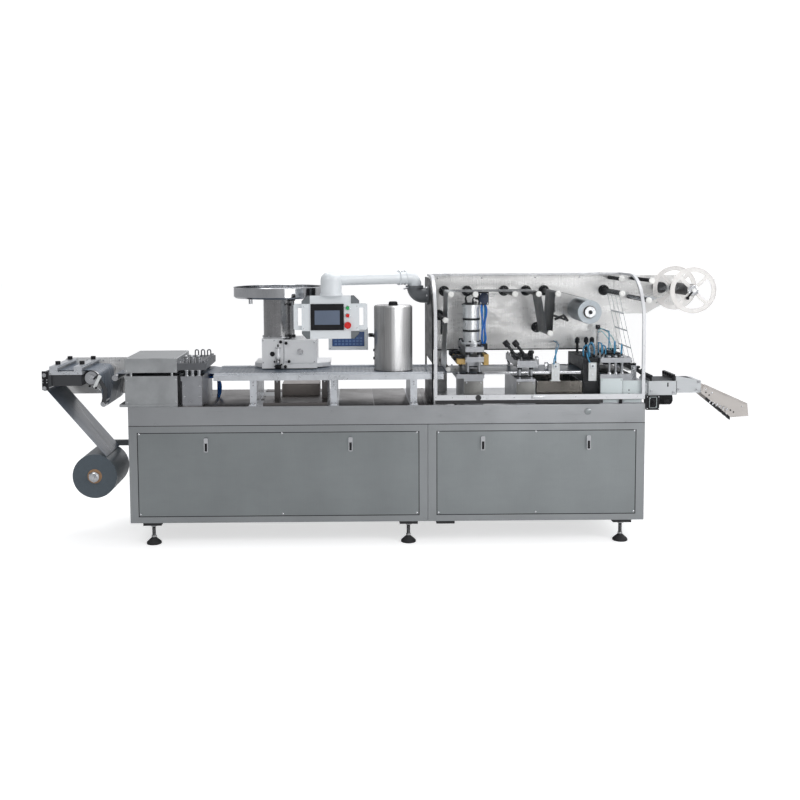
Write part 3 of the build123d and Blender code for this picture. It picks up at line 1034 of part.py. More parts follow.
with BuildPart() as fittings:
    slab(valve_left, valve_right, valve_front, valve_front + valve_depth, cylinder_top, cylinder_top + valve_height)
    slab(seal_head_right, seal_head_right + valve_line_block, valve_front, valve_front + valve_depth,
         seal_head_level, head_top)
    rod_up(stop_screw_station, stop_screw_depth, index_top, index_top + stop_screw_height, stop_screw_radius)
    for station in toggle_stations:
        slab(station - toggle_foot / 2, station + toggle_foot / 2, toggle_depth - toggle_foot / 2,
             toggle_depth + toggle_foot / 2, index_top, index_top + toggle_foot_height)
        lean = Vector(-toggle_reach, 0, toggle_height)
        foot = Vector(station, toggle_depth, index_top + toggle_foot_height / 2)
        rod(foot, lean, lean.length, toggle_radius)
        rod(foot + lean * 0.9, lean, 2 * toggle_knob_radius, toggle_knob_radius)
    link([(station, roller_panel_top - drop) for station, drop in lever_points],
         roller_front - lever_sheet, roller_front, lever_width)
    rod_back(lever_points[-1][0], roller_panel_top - lever_points[-1][1], roller_front, roller_panel_front,
             lever_width / 2)
    x0, x1 = press_bar_station - press_bar_width / 2, press_bar_station + press_bar_width / 2
    bar_level = belt_height + press_bar_rise
    slab(x0, x1, belt_front + fit, belt_back - fit, bar_level, bar_level + press_bar_height)
    for y in (belt_front + fit, belt_back - belt_margin + fit):
        slab(x0, x1, y, y + belt_margin - 2 * fit, frame_top, bar_level)
    with Locations((press_bar_station, belt_middle, bar_level + press_bar_height)):
        with GridLocations(1, (belt_back - belt_front - 2 * belt_margin) / (press_knobs - 1), 1, press_knobs):
            Cylinder(press_knob_radius, press_knob_height, align=(Align.CENTER, Align.CENTER, Align.MIN))
    for turn in range(cleat_count):
        shares = [(turn + end) / cleat_count for end in ((1 - cleat_share) / 2, (1 + cleat_share) / 2)]
        (a, b), (c, d) = [[low + share * (high - low) for low, high in zip(chute_side[4], chute_side[3])]
                          for share in shares]
        profile([on_chute(a, b), on_chute(c, d), on_chute(c, d - cleat_height), on_chute(a, b - cleat_height)],
                chute_front, chute_front + cleat_depth)
    rod_back(reel_station + reel_drive_offset, reel_level, plate_front - reel_drive_length, plate_front,
             reel_drive_radius)
pieces["black_fittings"] = cutter.part + knobs.part + fittings.part

# Air lines: from the forming block into the table, and from the valve to the seal head
with BuildPart() as air_lines:
    with BuildLine() as line_path:
        FilletPolyline(*former_line, radius=former_line_bend)
    with BuildSketch(Plane(origin=line_path.line @ 0, z_dir=line_path.line % 0)) as line_section:
        Circle(line_radius)
    sweep(line_section.sketch, path=line_path.line)
    for inset in valve_line_insets:
        rod_up(seal_head_right + inset, valve_line_depth, head_top, cylinder_top, line_radius)
    small_lines = [[(x0, y0, punch_top), (x0, y0, z), (x1, y1, z), (x1, y1, punch_top)]
                   for (x0, y0), (x1, y1), z in punch_line_spans]
    x, y, z = panel_line
    small_lines += [[(x, y, punch_top), (x, y, z), (x, roller_panel_front, z)]]
    x, y, z = sensor_stations[0], sensor_front + sensor_sheet / 2, sensor_line_level
    small_lines += [[(x, y, bin_height + sensor_height), (x, y, z),
                     (sensor_line_end, roller_panel_front - 3 * small_line_bend, z),
                     (sensor_line_end, roller_panel_front, z)]]
    for points in small_lines:
        with BuildLine() as small_path:
            FilletPolyline(*points, radius=small_line_bend)
        with BuildSketch(Plane(origin=small_path.line @ 0, z_dir=small_path.line % 0)) as small_section:
            Circle(small_line_radius)
        sweep(small_section.sketch, path=small_path.line)
pieces["air_lines"] = air_lines.part

to_floor = Location((-origin_station, 0, table_height))
for name, piece in pieces.items():
    placed = piece.moved(to_floor)
    placed.label = name
    export_step(placed, f"parts/{name}.step")
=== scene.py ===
import math
from itertools import product

import bmesh
import bpy
from mathutils import Matrix, Vector


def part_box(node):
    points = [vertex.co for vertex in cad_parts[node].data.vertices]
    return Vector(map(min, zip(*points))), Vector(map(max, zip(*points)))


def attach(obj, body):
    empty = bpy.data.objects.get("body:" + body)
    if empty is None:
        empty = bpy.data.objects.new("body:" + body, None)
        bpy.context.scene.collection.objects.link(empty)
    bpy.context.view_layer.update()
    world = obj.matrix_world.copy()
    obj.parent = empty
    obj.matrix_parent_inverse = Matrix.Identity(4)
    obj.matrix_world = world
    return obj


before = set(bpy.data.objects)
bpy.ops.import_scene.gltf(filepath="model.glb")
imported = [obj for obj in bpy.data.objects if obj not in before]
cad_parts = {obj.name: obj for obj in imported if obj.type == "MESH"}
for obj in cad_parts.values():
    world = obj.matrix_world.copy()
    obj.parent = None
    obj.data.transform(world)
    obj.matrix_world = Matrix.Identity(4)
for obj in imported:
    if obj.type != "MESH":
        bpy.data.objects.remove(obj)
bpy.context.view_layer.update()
print("frame loaded:", len(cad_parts), "nodes")

# Places are given in millimetres: along the film from the left end of the cabinets, in depth from the middle
# of the machine to the back, and in height over the table.
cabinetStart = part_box("cabinet_left")[0][0]
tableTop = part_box("table_top")[1][2]
front, back = Vector((0, -1, 0)), Vector((0, 1, 0))
up, along = Vector((0, 0, 1)), Vector((1, 0, 0))


def at(station, depth, height):
    return Vector((cabinetStart + station / 1000, depth / 1000, tableTop + height / 1000))


class Wire:      # a shader's value, on which operators add Math nodes
    def __init__(self, shader, socket):
        self.shader, self.socket = shader, socket

    def combine(self, operation, other):
        return self.shader.node("ShaderNodeMath", {"operation": operation}, {0: self, 1: other})

    def __add__(self, other):
        return self.combine("ADD", other)

    def __mul__(self, other):
        return self.combine("MULTIPLY", other)

    def __truediv__(self, other):
        return self.combine("DIVIDE", other)

    def __lt__(self, other):
        return self.combine("LESS_THAN", other)

    __radd__, __rmul__ = __add__, __mul__


class Shader:
    def __init__(self, tree):
        self.tree = tree
        tree.nodes.clear()

    def node(self, kind, settings=None, inputs=None, output=0):
        made = self.tree.nodes.new(kind)
        for name, value in (settings or {}).items():
            if name == "stops":
                ramp = made.color_ramp
                while len(ramp.elements) < len(value):
                    ramp.elements.new(0.5)
                for element, (place, level) in zip(ramp.elements, value):
                    element.position = place
                    element.color = (*level, 1) if isinstance(level, tuple) else (level, level, level, 1)
            else:
                setattr(made, name, value)
        for name, value in (inputs or {}).items():
            self.feed(made.inputs[name], value)
        return Wire(self, made.outputs[output]) if len(made.outputs) else made

    def feed(self, socket, value):
        if isinstance(value, Wire):
            self.tree.links.new(value.socket, socket)
        elif socket.type == "RGBA" and len(value) == 3:
            socket.default_value = (*value, 1)
        else:
            socket.default_value = value

    def ramp(self, value, *stops):
        return self.node("ShaderNodeValToRGB", {"stops": stops}, {"Fac": value})

    def axis(self, point, name):
        return self.node("ShaderNodeSeparateXYZ", None, {"Vector": point}, name)

    def tint(self, share, first, second):
        return self.node("ShaderNodeMix", {"data_type": "RGBA"}, {"Factor": share, 6: first, 7: second}, 2)


class Finish(Shader):
    def __init__(self, name):
        self.material = bpy.data.materials.new(name)
        self.material.use_nodes = True
        super().__init__(self.material.node_tree)
        self.surface = self.tree.nodes.new("ShaderNodeBsdfPrincipled")
        self.output = self.node("ShaderNodeOutputMaterial", None, {"Surface": Wire(self, self.surface.outputs[0])})

    def set(self, **values):      # spaces in socket names are written as underscores
        for name, value in values.items():
            self.feed(self.surface.inputs[name.replace("_", " ")], value)
        return self.material

    def place(self, scale=(1, 1, 1), centre=(0, 0, 0)):
        point = self.node("ShaderNodeTexCoord", output="Object")
        moved = self.node("ShaderNodeVectorMath", {"operation": "SUBTRACT"}, {0: point, 1: centre})
        return self.node("ShaderNodeVectorMath", {"operation": "MULTIPLY"}, {0: moved, 1: scale})

    def noise(self, stretch, scale, detail, roughness):
        return self.node("ShaderNodeTexNoise", None, {"Vector": self.place(stretch), "Scale": scale,
                                                      "Detail": detail, "Roughness": roughness})

    def spread(self, value, low, high):      # brings the middle of a noise between low and high
        return self.node("ShaderNodeMapRange", None, {"Value": value, "From Min": 0.3, "From Max": 0.7,
                                                      "To Min": low, "To Max": high})

    def tones(self, share, colour, dark, light):
        return self.tint(share, shade(colour, dark), shade(colour, light))

    def bump(self, height, depth, strength=1.0):
        return self.node("ShaderNodeBump", None, {"Height": height, "Distance": depth, "Strength": strength})


def shade(colour, factor):
    return tuple(min(1.0, channel * factor) for channel in colour)


even = (1.0, 1.0, 1.0)      # a noise that isn't stretched


def brushedSteel(name, colour, grain=(0, 0, 1), roughness=0.36, contrast=0.10, stain=0.10, metal=1.0,
                 sheen=(1.0, 1.0, 0.7)):
    finish = Finish(name)
    lines = finish.noise(tuple(6.0 if axis else 900.0 for axis in grain), 1.0, 4.0, 0.6)
    broad = finish.noise(sheen, 2.6, 4.0, 0.5)
    smear = finish.noise((3.0, 3.0, 9.0), 2.2, 5.0, 0.6)
    tone = finish.spread(lines, -contrast, contrast) + finish.spread(broad, -stain, stain) + 0.5
    rough = roughness + finish.spread(lines, -0.05, 0.05) + finish.spread(smear, -0.06, 0.10)
    return finish.set(Base_Color=finish.tones(tone, colour, 0.72, 1.28), Metallic=metal, Roughness=rough,
                      Normal=finish.bump(lines, 0.00004, 0.5 * metal ** 2))


def groundSteel(name, colour, roughness=0.33, metal=1.0):
    finish = Finish(name)
    passes = finish.noise((700.0, 30.0, 700.0), 1.0, 3.0, 0.6)
    cross = finish.noise((40.0, 500.0, 40.0), 1.0, 2.0, 0.5)
    broad = finish.noise(even, 9.0, 4.0, 0.6)
    scuffs = finish.ramp(finish.noise((60.0, 60.0, 60.0), 1.0, 6.0, 0.75), (0.0, 0.0), (0.62, 0.0), (0.72, 1.0))
    tone = finish.spread(passes, -0.10, 0.10) + finish.spread(cross, -0.05, 0.05) + finish.spread(broad, 0.32, 0.68)
    rough = roughness + finish.spread(broad, -0.07, 0.09) + 0.10 * scuffs
    return finish.set(Base_Color=finish.tones(tone, colour, 0.74, 1.22), Metallic=metal, Roughness=rough,
                      Normal=finish.bump(passes + cross, 0.00003, 0.6))


def reflectionPaintedSteel(name, centre, radius):      # a brushed cylinder whose colour holds a painted reflection, dull on the left and bright on the right
    finish = Finish(name)
    across = finish.axis(finish.place((1, 1, 1), centre), "X") / (2 * radius) + 0.5
    hairs = finish.noise((900.0, 900.0, 2.0), 1.0, 2.0, 0.6)
    # painted reflection: these bands of colour across the cylinder stand for the light and dark that it reflects
    bands = finish.ramp(across, (0.0, 0.22), (0.10, 0.42), (0.24, 0.25), (0.42, 0.34), (0.50, 0.85), (0.90, 0.98),
                        (0.95, 0.60), (1.0, 0.85))
    return finish.set(Base_Color=bands, Metallic=0.38, Roughness=0.24 + finish.spread(hairs, -0.04, 0.06),
                      Normal=finish.bump(hairs, 0.00002, 0.5))


def polishedSteel(name, colour, roughness=0.13, metal=1.0):
    finish = Finish(name)
    smear = finish.noise((6.0, 6.0, 2.5), 3.0, 5.0, 0.6)
    hairs = finish.noise((900.0, 900.0, 12.0), 1.0, 2.0, 0.5)
    rough = roughness + finish.spread(smear, -0.04, 0.10) + finish.spread(hairs, -0.02, 0.02)
    return finish.set(Base_Color=finish.tones(finish.spread(smear, 0.2, 0.8), colour, 0.88, 1.0), Metallic=metal,
                      Roughness=rough, Normal=finish.bump(hairs, 0.00001, 0.5))


def paint(name, colour, roughness=0.38, peel=0.00006, wear=0.10, coat=0.0):
    finish = Finish(name)
    dust = finish.noise((1.0, 1.0, 2.0), 7.0, 6.0, 0.65)
    grime = finish.ramp(dust, (0.0, 0.0), (0.55, 0.0), (0.80, 1.0))
    return finish.set(Base_Color=finish.tones(grime * wear * 4, colour, 1.0, 0.80),
                      Roughness=roughness + finish.spread(dust, -0.04, 0.08), Coat_Weight=coat,
                      Coat_Roughness=0.12, Normal=finish.bump(finish.noise(even, 420.0, 2.0, 0.5), peel, 0.7))


def moulded(name, colour, roughness=0.42, texture=900.0, depth=0.00005, gloss=0.5):
    finish = Finish(name)
    handled = finish.noise(even, 18.0, 4.0, 0.6)
    return finish.set(Base_Color=finish.tones(finish.spread(handled, 0.15, 0.85), colour, 0.86, 1.16),
                      Roughness=roughness + finish.spread(handled, -0.07, 0.09), Specular_IOR_Level=gloss,
                      Normal=finish.bump(finish.noise(even, texture, 2.0, 0.6), depth, 0.6))


def woundLayers(name, centre, colour, metal=0.0, roughness=0.35, pitch=0.0011):
    finish = Finish(name)      # rings on the ends of a roll, fine marks across its outside
    offset = finish.place((1.0, 0.0, 1.0), (centre[0], 0, centre[2]))
    distance = finish.node("ShaderNodeVectorMath", {"operation": "LENGTH"}, {0: offset}, "Value")
    turns = finish.node("ShaderNodeMath", {"operation": "SINE"}, {0: distance * (2 * math.pi / pitch)})
    uneven = finish.noise((1.0, 0.02, 1.0), 60.0, 3.0, 0.6)
    bands = finish.node("ShaderNodeTexNoise", {"noise_dimensions": "1D"}, {"W": distance * 260.0, "Detail": 3.0})
    across = finish.noise((5.0, 300.0, 5.0), 1.0, 3.0, 0.5)
    tone = finish.spread(bands, 0.1, 0.9) + 0.10 * turns + finish.spread(uneven, -0.1, 0.1)
    return finish.set(Base_Color=finish.tones(tone, colour, 0.70, 1.30), Metallic=metal,
                      Roughness=roughness + finish.spread(across, -0.05, 0.08),
                      Coat_Weight=0.0 if metal else 0.10, Coat_Roughness=0.22,
                      Normal=finish.bump(turns * 0.3 + across, 0.00008, 0.6))


def plasticFilm(name, colour, alpha=1.0, roughness=0.30, clearFrom=None):
    finish = Finish(name)
    if clearFrom:      # the punched web almost disappears where it lies on the upper rollers
        alpha = alpha * 0.12 + (finish.axis(finish.place(), "Z") < clearFrom) * (alpha * 0.88)
    ripple = finish.noise((2.0, 10.0, 2.0), 3.0, 2.0, 0.5)
    streaks = finish.noise((4.0, 220.0, 4.0), 1.0, 3.0, 0.6)
    tone = finish.spread(streaks, 0.25, 0.75) + finish.spread(ripple, -0.2, 0.2)
    return finish.set(Base_Color=finish.tones(tone, colour, 0.93, 1.07), Alpha=alpha,
                      Roughness=roughness + finish.spread(ripple, -0.05, 0.10), Coat_Weight=0.12,
                      Coat_Roughness=0.12, Normal=finish.bump(ripple, 0.0012, 0.35))


def metalFoil(name, colour, pale):      # pale on the left, dark from the end of this range on
    finish = Finish(name)
    far = finish.node("ShaderNodeMapRange", None, {"Value": finish.axis(finish.place(), "X"), "From Min": 0.31,
                                                   "From Max": 0.36})
    crinkle = finish.noise((1.0, 3.0, 1.0), 9.0, 4.0, 0.6)
    knurl = finish.node("ShaderNodeTexVoronoi", None, {"Vector": finish.place(), "Scale": 650.0})
    dark = finish.tones(finish.spread(crinkle, 0.2, 0.8), colour, 0.80, 1.15)
    return finish.set(Base_Color=finish.tint(far, pale, dark), Metallic=0.9,
                      Roughness=0.34 + finish.spread(crinkle, -0.08, 0.10),
                      Normal=finish.bump(knurl * 0.04 + crinkle, 0.0006, 0.5))


def pressedCard(name, colour):
    finish = Finish(name)
    fibres = finish.noise((250.0, 60.0, 250.0), 1.0, 4.0, 0.7)
    spiral = finish.node("ShaderNodeTexWave", {"wave_type": "BANDS", "bands_direction": "DIAGONAL"},
                         {"Vector": finish.place(), "Scale": 18.0, "Distortion": 0.6})
    tone = finish.spread(fibres, 0.2, 0.8) * 0.8 + spiral * 0.2
    return finish.set(Base_Color=finish.tones(tone, colour, 0.65, 1.25), Roughness=0.85,
                      Normal=finish.bump(fibres, 0.0002, 0.6))


def clearSheet(name, colour, alpha, roughness=0.05):
    finish = Finish(name)
    haze = finish.noise((2.0, 2.0, 1.0), 4.0, 4.0, 0.6)
    swirl = finish.noise(even, 120.0, 3.0, 0.7)
    return finish.set(Base_Color=finish.tones(finish.spread(haze, 0.3, 0.7), colour, 0.94, 1.0),
                      Alpha=finish.spread(haze, alpha * 0.8, alpha * 1.2),
                      Roughness=roughness + finish.spread(swirl, 0.0, 0.05), IOR=1.49)


def beltCloth(name, colour):
    finish = Finish(name)
    weave = finish.node("ShaderNodeTexChecker", None, {"Vector": finish.place(), "Scale": 700.0,
                                                       "Color1": (1, 1, 1), "Color2": (0, 0, 0)}, 1)
    scuffs = finish.noise((4.0, 14.0, 4.0), 6.0, 5.0, 0.7)
    return finish.set(Base_Color=finish.tones(finish.spread(scuffs, 0.1, 0.9), colour, 0.8, 1.5),
                      Roughness=0.68 + finish.spread(scuffs, -0.08, 0.08),
                      Normal=finish.bump(weave + scuffs, 0.00015, 0.5))


def litScreen(name, colour, glow):
    finish = Finish(name)
    rows = finish.node("ShaderNodeTexWave", {"wave_type": "BANDS", "bands_direction": "Z"},
                       {"Vector": finish.place(), "Scale": 900.0})
    tone = finish.spread(finish.noise(even, 5.0, 2.0, 0.5), 0.2, 0.8) * 0.9 + rows * 0.1
    colours = finish.tones(tone, colour, 0.8, 1.2)
    return finish.set(Base_Color=colours, Emission_Color=colours, Emission_Strength=glow, Roughness=0.18,
                      Coat_Weight=0.5, Coat_Roughness=0.05)


rollCentre, foilCentre = ([(low + high) / 2 for low, high in zip(*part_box(roll))]
                          for roll in ("forming_film_roll", "lidding_roll"))
upright, lengthwise = (0, 0, 1), (1, 0, 0)      # the way that a brushed grain runs

# each finish, the nodes that it goes on, its function and what that takes after the name
finishTable = (
    ("cabinetSteel", "cabinet_left cabinet_right", brushedSteel, (0.35, 0.365, 0.375)),
    ("doorSteel", "service_panels", brushedSteel, (0.295, 0.316, 0.322), upright, 0.40, 0.08, 0.14),
    ("tableSteel", "table_top", brushedSteel, (0.40, 0.412, 0.425), lengthwise, 0.33),
    ("panelSteel", "infeed_side_plate roller_panel reel_bracket", brushedSteel, (0.86, 0.855, 0.83), upright, 0.28,
     0.02, 0.10, 0.35, (1.5, 1.0, 0.12)),
    ("drumSteel", "feeder_drum", brushedSteel, (0.34, 0.34, 0.345), upright, 0.22, 0.30, 0.30, 1.0, (9, 9, 0.05)),
    ("driveSteel", "film_drive", brushedSteel, (0.40, 0.365, 0.345), lengthwise, 0.34),
    ("beltBox", "conveyor_frame", brushedSteel, (0.53, 0.55, 0.565), lengthwise, 0.36, 0.05, 0.08, 0.45),
    # painted shade: the end plate's near-black colour stands for the shade that lies on it
    ("plateSteel", "end_plate", brushedSteel, (0.035, 0.036, 0.039), upright, 0.38),
    ("warmSteel", "track_support", brushedSteel, (0.145, 0.137, 0.134), lengthwise, 0.34),
    ("blockSteel", "", brushedSteel, (0.19, 0.19, 0.183), upright, 0.40),
    ("boxSteel", "feeder_housing", brushedSteel, (0.80, 0.83, 0.87), upright, 0.36, 0.05, 0.08, 0.25),
    ("frameSteel", "hood_frame", brushedSteel, (0.66, 0.67, 0.69), upright, 0.32, 0.04, 0.05, 0.35),
    ("binSteel", "scrap_bin", polishedSteel, (0.20, 0.186, 0.168), 0.20),
    ("castSteel", "forming_upper", groundSteel, (0.17, 0.176, 0.187), 0.42),
    ("toolSteel", "forming_base seal_frame seal_platen indexing_station punch_station", groundSteel,
     (0.38, 0.39, 0.41)),
    ("trackSteel", "infeed_plates guide_track", groundSteel, (0.67, 0.695, 0.73), 0.30, 0.7),
    ("heaterSteel", "heater_lower heater_upper", groundSteel, (0.46, 0.475, 0.485), 0.38),
    ("darkSteel", "splice_table", paint, (0.038, 0.040, 0.044), 0.42, 0.00008),
    ("bracketGrey", "unwind_arm arm_bracket", paint, (0.13, 0.14, 0.15), 0.40),
    ("cornerGrey", "", moulded, (0.14, 0.155, 0.165), 0.45),
    ("coverGrey", "", paint, (0.56, 0.62, 0.63), 0.30, 0.00004, 0.06),
    ("mirrorSteel", "latch_handles infeed_rollers feeder_bowl", polishedSteel, (0.60, 0.61, 0.63), 0.10),
    # the cylinder cover's colour is a painted reflection, in bands across it
    ("coverSteel", "cylinder_cover", reflectionPaintedSteel, at(1565, -100, 0), 0.116),
    ("cylinderSteel", "seal_cylinder", polishedSteel, (0.82, 0.84, 0.86), 0.24, 0.55),
    ("turnedSteel", "forming_roll_shaft", polishedSteel, (0.66, 0.67, 0.69), 0.20),
    ("studSteel", "", polishedSteel, (0.60, 0.60, 0.61), 0.25),
    ("whitePaint", "sensor_brackets", paint, (0.64, 0.66, 0.66), 0.32),
    ("greyPaint", "controller_box swing_arm screen_box", paint, (0.70, 0.735, 0.76), 0.34, 0.00005, 0.04, 0.25),
    ("blackPlastic", "screen_bezel web_rollers conveyor_motor black_fittings", moulded, (0.009, 0.009, 0.011), 0.40,
     900.0, 0.00005, 0.25),
    ("navyPlastic", "", moulded, (0.006, 0.018, 0.060), 0.35),
    ("whitePlastic", "roller_caps", moulded, (0.84, 0.84, 0.82), 0.34),
    ("bluePlastic", "", moulded, (0.035, 0.085, 0.23), 0.36),
    ("keyBlue", "", moulded, (0.10, 0.19, 0.40), 0.40),
    ("insulator", "", moulded, (0.45, 0.30, 0.10), 0.5),
    ("hoseBlue", "", moulded, (0.005, 0.13, 0.50), 0.22, 60.0, 0.00003),
    ("hoseTeal", "air_lines", moulded, (0.05, 0.25, 0.44), 0.22, 60.0, 0.00003),
    ("hoseClear", "", moulded, (0.25, 0.55, 0.60), 0.20, 60.0, 0.00003),
    ("greenPlastic", "green_button", moulded, (0.02, 0.34, 0.09), 0.28),
    ("redPlastic", "red_buttons", moulded, (0.58, 0.018, 0.015), 0.28),
    ("footRubber", "levelling_feet", moulded, (0.022, 0.022, 0.024), 0.62, 500.0, 0.0001),
    ("rollFilm", "forming_film_roll", woundLayers, rollCentre, (0.068, 0.088, 0.106)),
    ("runningFilm", "forming_film", plasticFilm, (0.115, 0.140, 0.178)),
    ("punchedFilm", "waste_web", plasticFilm, (0.50, 0.54, 0.57), 0.62, 0.28, 1.452),
    ("foilRoll", "lidding_roll", woundLayers, foilCentre, (0.44, 0.485, 0.52), 0.3, 0.40, 0.0008),
    ("lidFoil", "lidding_foil", metalFoil, (0.062, 0.070, 0.080), (0.75, 0.78, 0.80)),
    ("rollCard", "forming_roll_core lidding_core", pressedCard, (0.34, 0.20, 0.11)),
    ("hoodSheet", "hood_window", clearSheet, (0.10, 0.12, 0.13), 0.022),
    ("reelPlastic", "scrap_reel", clearSheet, (0.90, 0.88, 0.86), 0.74, 0.25),
    ("beltTop", "conveyor_belt", beltCloth, (0.060, 0.064, 0.070)),
    ("chuteSheet", "discharge_chute", paint, (0.49, 0.462, 0.44), 0.36),
    ("screenGlow", "touch_display", litScreen, (0.088, 0.112, 0.160), 0.30),
    ("tileGlow", "", litScreen, (0.125, 0.155, 0.21), 0.35),
)
materials = {}
for finishName, nodeNames, maker, *settings in finishTable:
    materials[finishName] = maker(finishName, *settings)
    for nodeName in nodeNames.split():
        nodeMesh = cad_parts[nodeName].data
        nodeMesh.materials.clear()
        nodeMesh.materials.append(materials[finishName])
print("finishes made:", len(materials))


def finishPiece(name, bm, finishName, body="machine", sharp=35):
    bmesh.ops.recalc_face_normals(bm, faces=bm.faces)
    mesh = bpy.data.meshes.new(name)
    bm.to_mesh(mesh)
    bm.free()
    for polygon in mesh.polygons:
        polygon.use_smooth = True
    mesh.set_sharp_from_angle(angle=math.radians(sharp))
    mesh.materials.append(materials[finishName])
    piece = bpy.data.objects.new(name, mesh)
    bpy.context.collection.objects.link(piece)
    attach(piece, body)


def keepMesh(bm):
    mesh = bpy.data.meshes.new("pattern")
    bm.to_mesh(mesh)
    bm.free()
    return mesh


def edgesOf(bm, verts):
    own = set(verts)
    return [edge for edge in bm.edges if edge.verts[0] in own]


def bevelEdges(bm, edges, width, segments=2):
    bmesh.ops.bevel(bm, geom=edges, offset=width / 1000, offset_type="OFFSET", affect="EDGES", segments=segments,
                    profile=0.5, material=-1)


def turned(outline, steps=24):      # outline as radius and height in millimetres, from the foot up
    bm = bmesh.new()
    verts = [bm.verts.new((radius / 1000, 0, height / 1000)) for radius, height in outline]
    edges = [bm.edges.new(pair) for pair in zip(verts, verts[1:])]
    bmesh.ops.spin(bm, geom=verts + edges, cent=(0, 0, 0), axis=(0, 0, 1), dvec=(0, 0, 0), angle=2 * math.pi,
                   steps=steps, use_merge=True, use_duplicate=False)
    bmesh.ops.remove_doubles(bm, verts=bm.verts, dist=0.00001)
    bmesh.ops.recalc_face_normals(bm, faces=bm.faces)
    return keepMesh(bm)


def band(inner, outer, height, edge, steps):      # a ring with its outer edges taken off
    return turned(((inner, 0), (outer, edge), (outer, height - edge), (inner, height)), steps)


def stamp(bm, pattern, point, direction, scale=1.0, turn=0.0):
    copy = pattern.copy()
    copy.transform(Matrix.Translation(point) @ Vector(direction).to_track_quat("Z", "Y").to_matrix().to_4x4()
                   @ Matrix.Rotation(turn, 4, "Z") @ Matrix.Scale(scale, 4))
    bm.from_mesh(copy)
    bpy.data.meshes.remove(copy)


def block(bm, low, high, bevel=0.0, turn=None, about=None):
    verts = bmesh.ops.create_cube(bm, size=1.0)["verts"]
    bmesh.ops.scale(bm, vec=high - low, verts=verts)
    bmesh.ops.translate(bm, vec=(low + high) / 2, verts=verts)
    if turn:
        bmesh.ops.rotate(bm, cent=about or (low + high) / 2, matrix=turn, verts=verts)
    if bevel:
        bevelEdges(bm, edgesOf(bm, verts), bevel)


def bar(bm, start, end, radius, sides=16, bevel=0.0):
    run = end - start
    matrix = Matrix.Translation((start + end) / 2) @ run.to_track_quat("Z", "Y").to_matrix().to_4x4()
    made = bmesh.ops.create_cone(bm, cap_ends=True, cap_tris=False, segments=sides, radius1=radius / 1000,
                                 radius2=radius / 1000, depth=run.length, matrix=matrix)
    if bevel:
        bevelEdges(bm, [edge for edge in edgesOf(bm, made["verts"])
                        if any(len(face.verts) > 4 for face in edge.link_faces)], bevel)


def coil(bm, start, end, radius, wire, turns, steps=14):      # a pressure spring round a rod
    run = end - start
    matrix = Matrix.Translation(start) @ run.to_track_quat("Z", "Y").to_matrix().to_4x4()
    ring = bmesh.ops.create_circle(bm, cap_ends=False, segments=6, radius=wire / 1000)["verts"]
    bmesh.ops.rotate(bm, cent=(0, 0, 0), matrix=Matrix.Rotation(math.pi / 2, 3, "X"), verts=ring)
    bmesh.ops.translate(bm, vec=(radius / 1000, 0, 0), verts=ring)
    count = int(turns * steps)
    bmesh.ops.spin(bm, geom=ring + edgesOf(bm, ring), cent=(0, 0, 0), axis=(0, 0, 1), dvec=(0, 0, run.length / count),
                   angle=turns * 2 * math.pi, steps=count, use_merge=False, use_duplicate=False)
    grown, queue = set(ring), list(ring)      # the spring's own vertices, reached from its first ring
    while queue:
        for edge in queue.pop().link_edges:
            for vert in edge.verts:
                if vert not in grown:
                    grown.add(vert)
                    queue.append(vert)
    bmesh.ops.transform(bm, matrix=matrix, verts=list(grown))


def hose(bm, points, radius, sides=10, steps=6):      # rings along a smooth line through these points, bridged
    ends, path = [2 * points[0] - points[1], *points, 2 * points[-1] - points[-2]], []
    for a, b, c, d in zip(ends, ends[1:], ends[2:], ends[3:]):
        for t in (step / steps for step in range(steps)):
            path.append(0.5 * (2 * b + (c - a) * t + (2 * a - 5 * b + 4 * c - d) * t * t
                               + (3 * b - a - 3 * c + d) * t ** 3))
    path.append(points[-1])
    aside, last = (path[1] - path[0]).orthogonal().normalized(), []
    for before, point, after in zip(path[:1] + path, path, path[1:] + path[-1:]):
        heading = (after - before).normalized()
        aside = (aside - heading * aside.dot(heading)).normalized()
        matrix = Matrix.Translation(point) @ Matrix((heading.cross(aside), aside, heading)).transposed().to_4x4()
        ring = bmesh.ops.create_circle(bm, cap_ends=point in (path[0], path[-1]), segments=sides,
                                       radius=radius / 1000, matrix=matrix)["verts"]
        edges = edgesOf(bm, ring)
        if last:
            bmesh.ops.bridge_loops(bm, edges=last + edges)
        last = edges


def makePiece(name, finishName, shape, body="machine"):
    bm = bmesh.new()      # a row holds two corners or ends and sizes, a hose's points, or a pattern and its places
    for kind, maker in (("blocks", block), ("bars", bar), ("coils", coil)):
        for row in shape.get(kind, ()):
            maker(bm, at(*row[:3]), at(*row[3:6]), *row[6:])
    for radius, *points in shape.get("hoses", ()):
        hose(bm, [at(*point) for point in points], radius)
    for radius, *points in shape.get("thickHoses", ()):
        hose(bm, [at(*point) for point in points], radius, 14, 7)
    for pattern, direction, places, *scaleAndTurn in shape.get("stamps", ()):
        for place in places:
            stamp(bm, pattern, at(*place), direction, *scaleAndTurn)
    finishPiece(name, bm, finishName, body)


def grid(stations, depths, heights):      # each is one number or several
    return list(product(*(way if hasattr(way, "__iter__") else (way,) for way in (stations, depths, heights))))


def boltCircle(centre, radius, angles, across=along, over=up):
    return [tuple(middle + radius * (math.cos(angle) * a + math.sin(angle) * o)
                  for middle, a, o in zip(centre, across, over)) for angle in angles]


def turns(count, first=0.0):
    return [first + step * 2 * math.pi / count for step in range(count)]


def hexNut(across, height):
    bm = bmesh.new()
    bmesh.ops.create_cone(bm, cap_ends=True, cap_tris=False, segments=6, radius1=across / 1732,
                          radius2=across / 1732, depth=height / 1000,
                          matrix=Matrix.Translation((0, 0, height / 2000)))
    bevelEdges(bm, bm.edges[:], 0.6, 1)
    return keepMesh(bm)


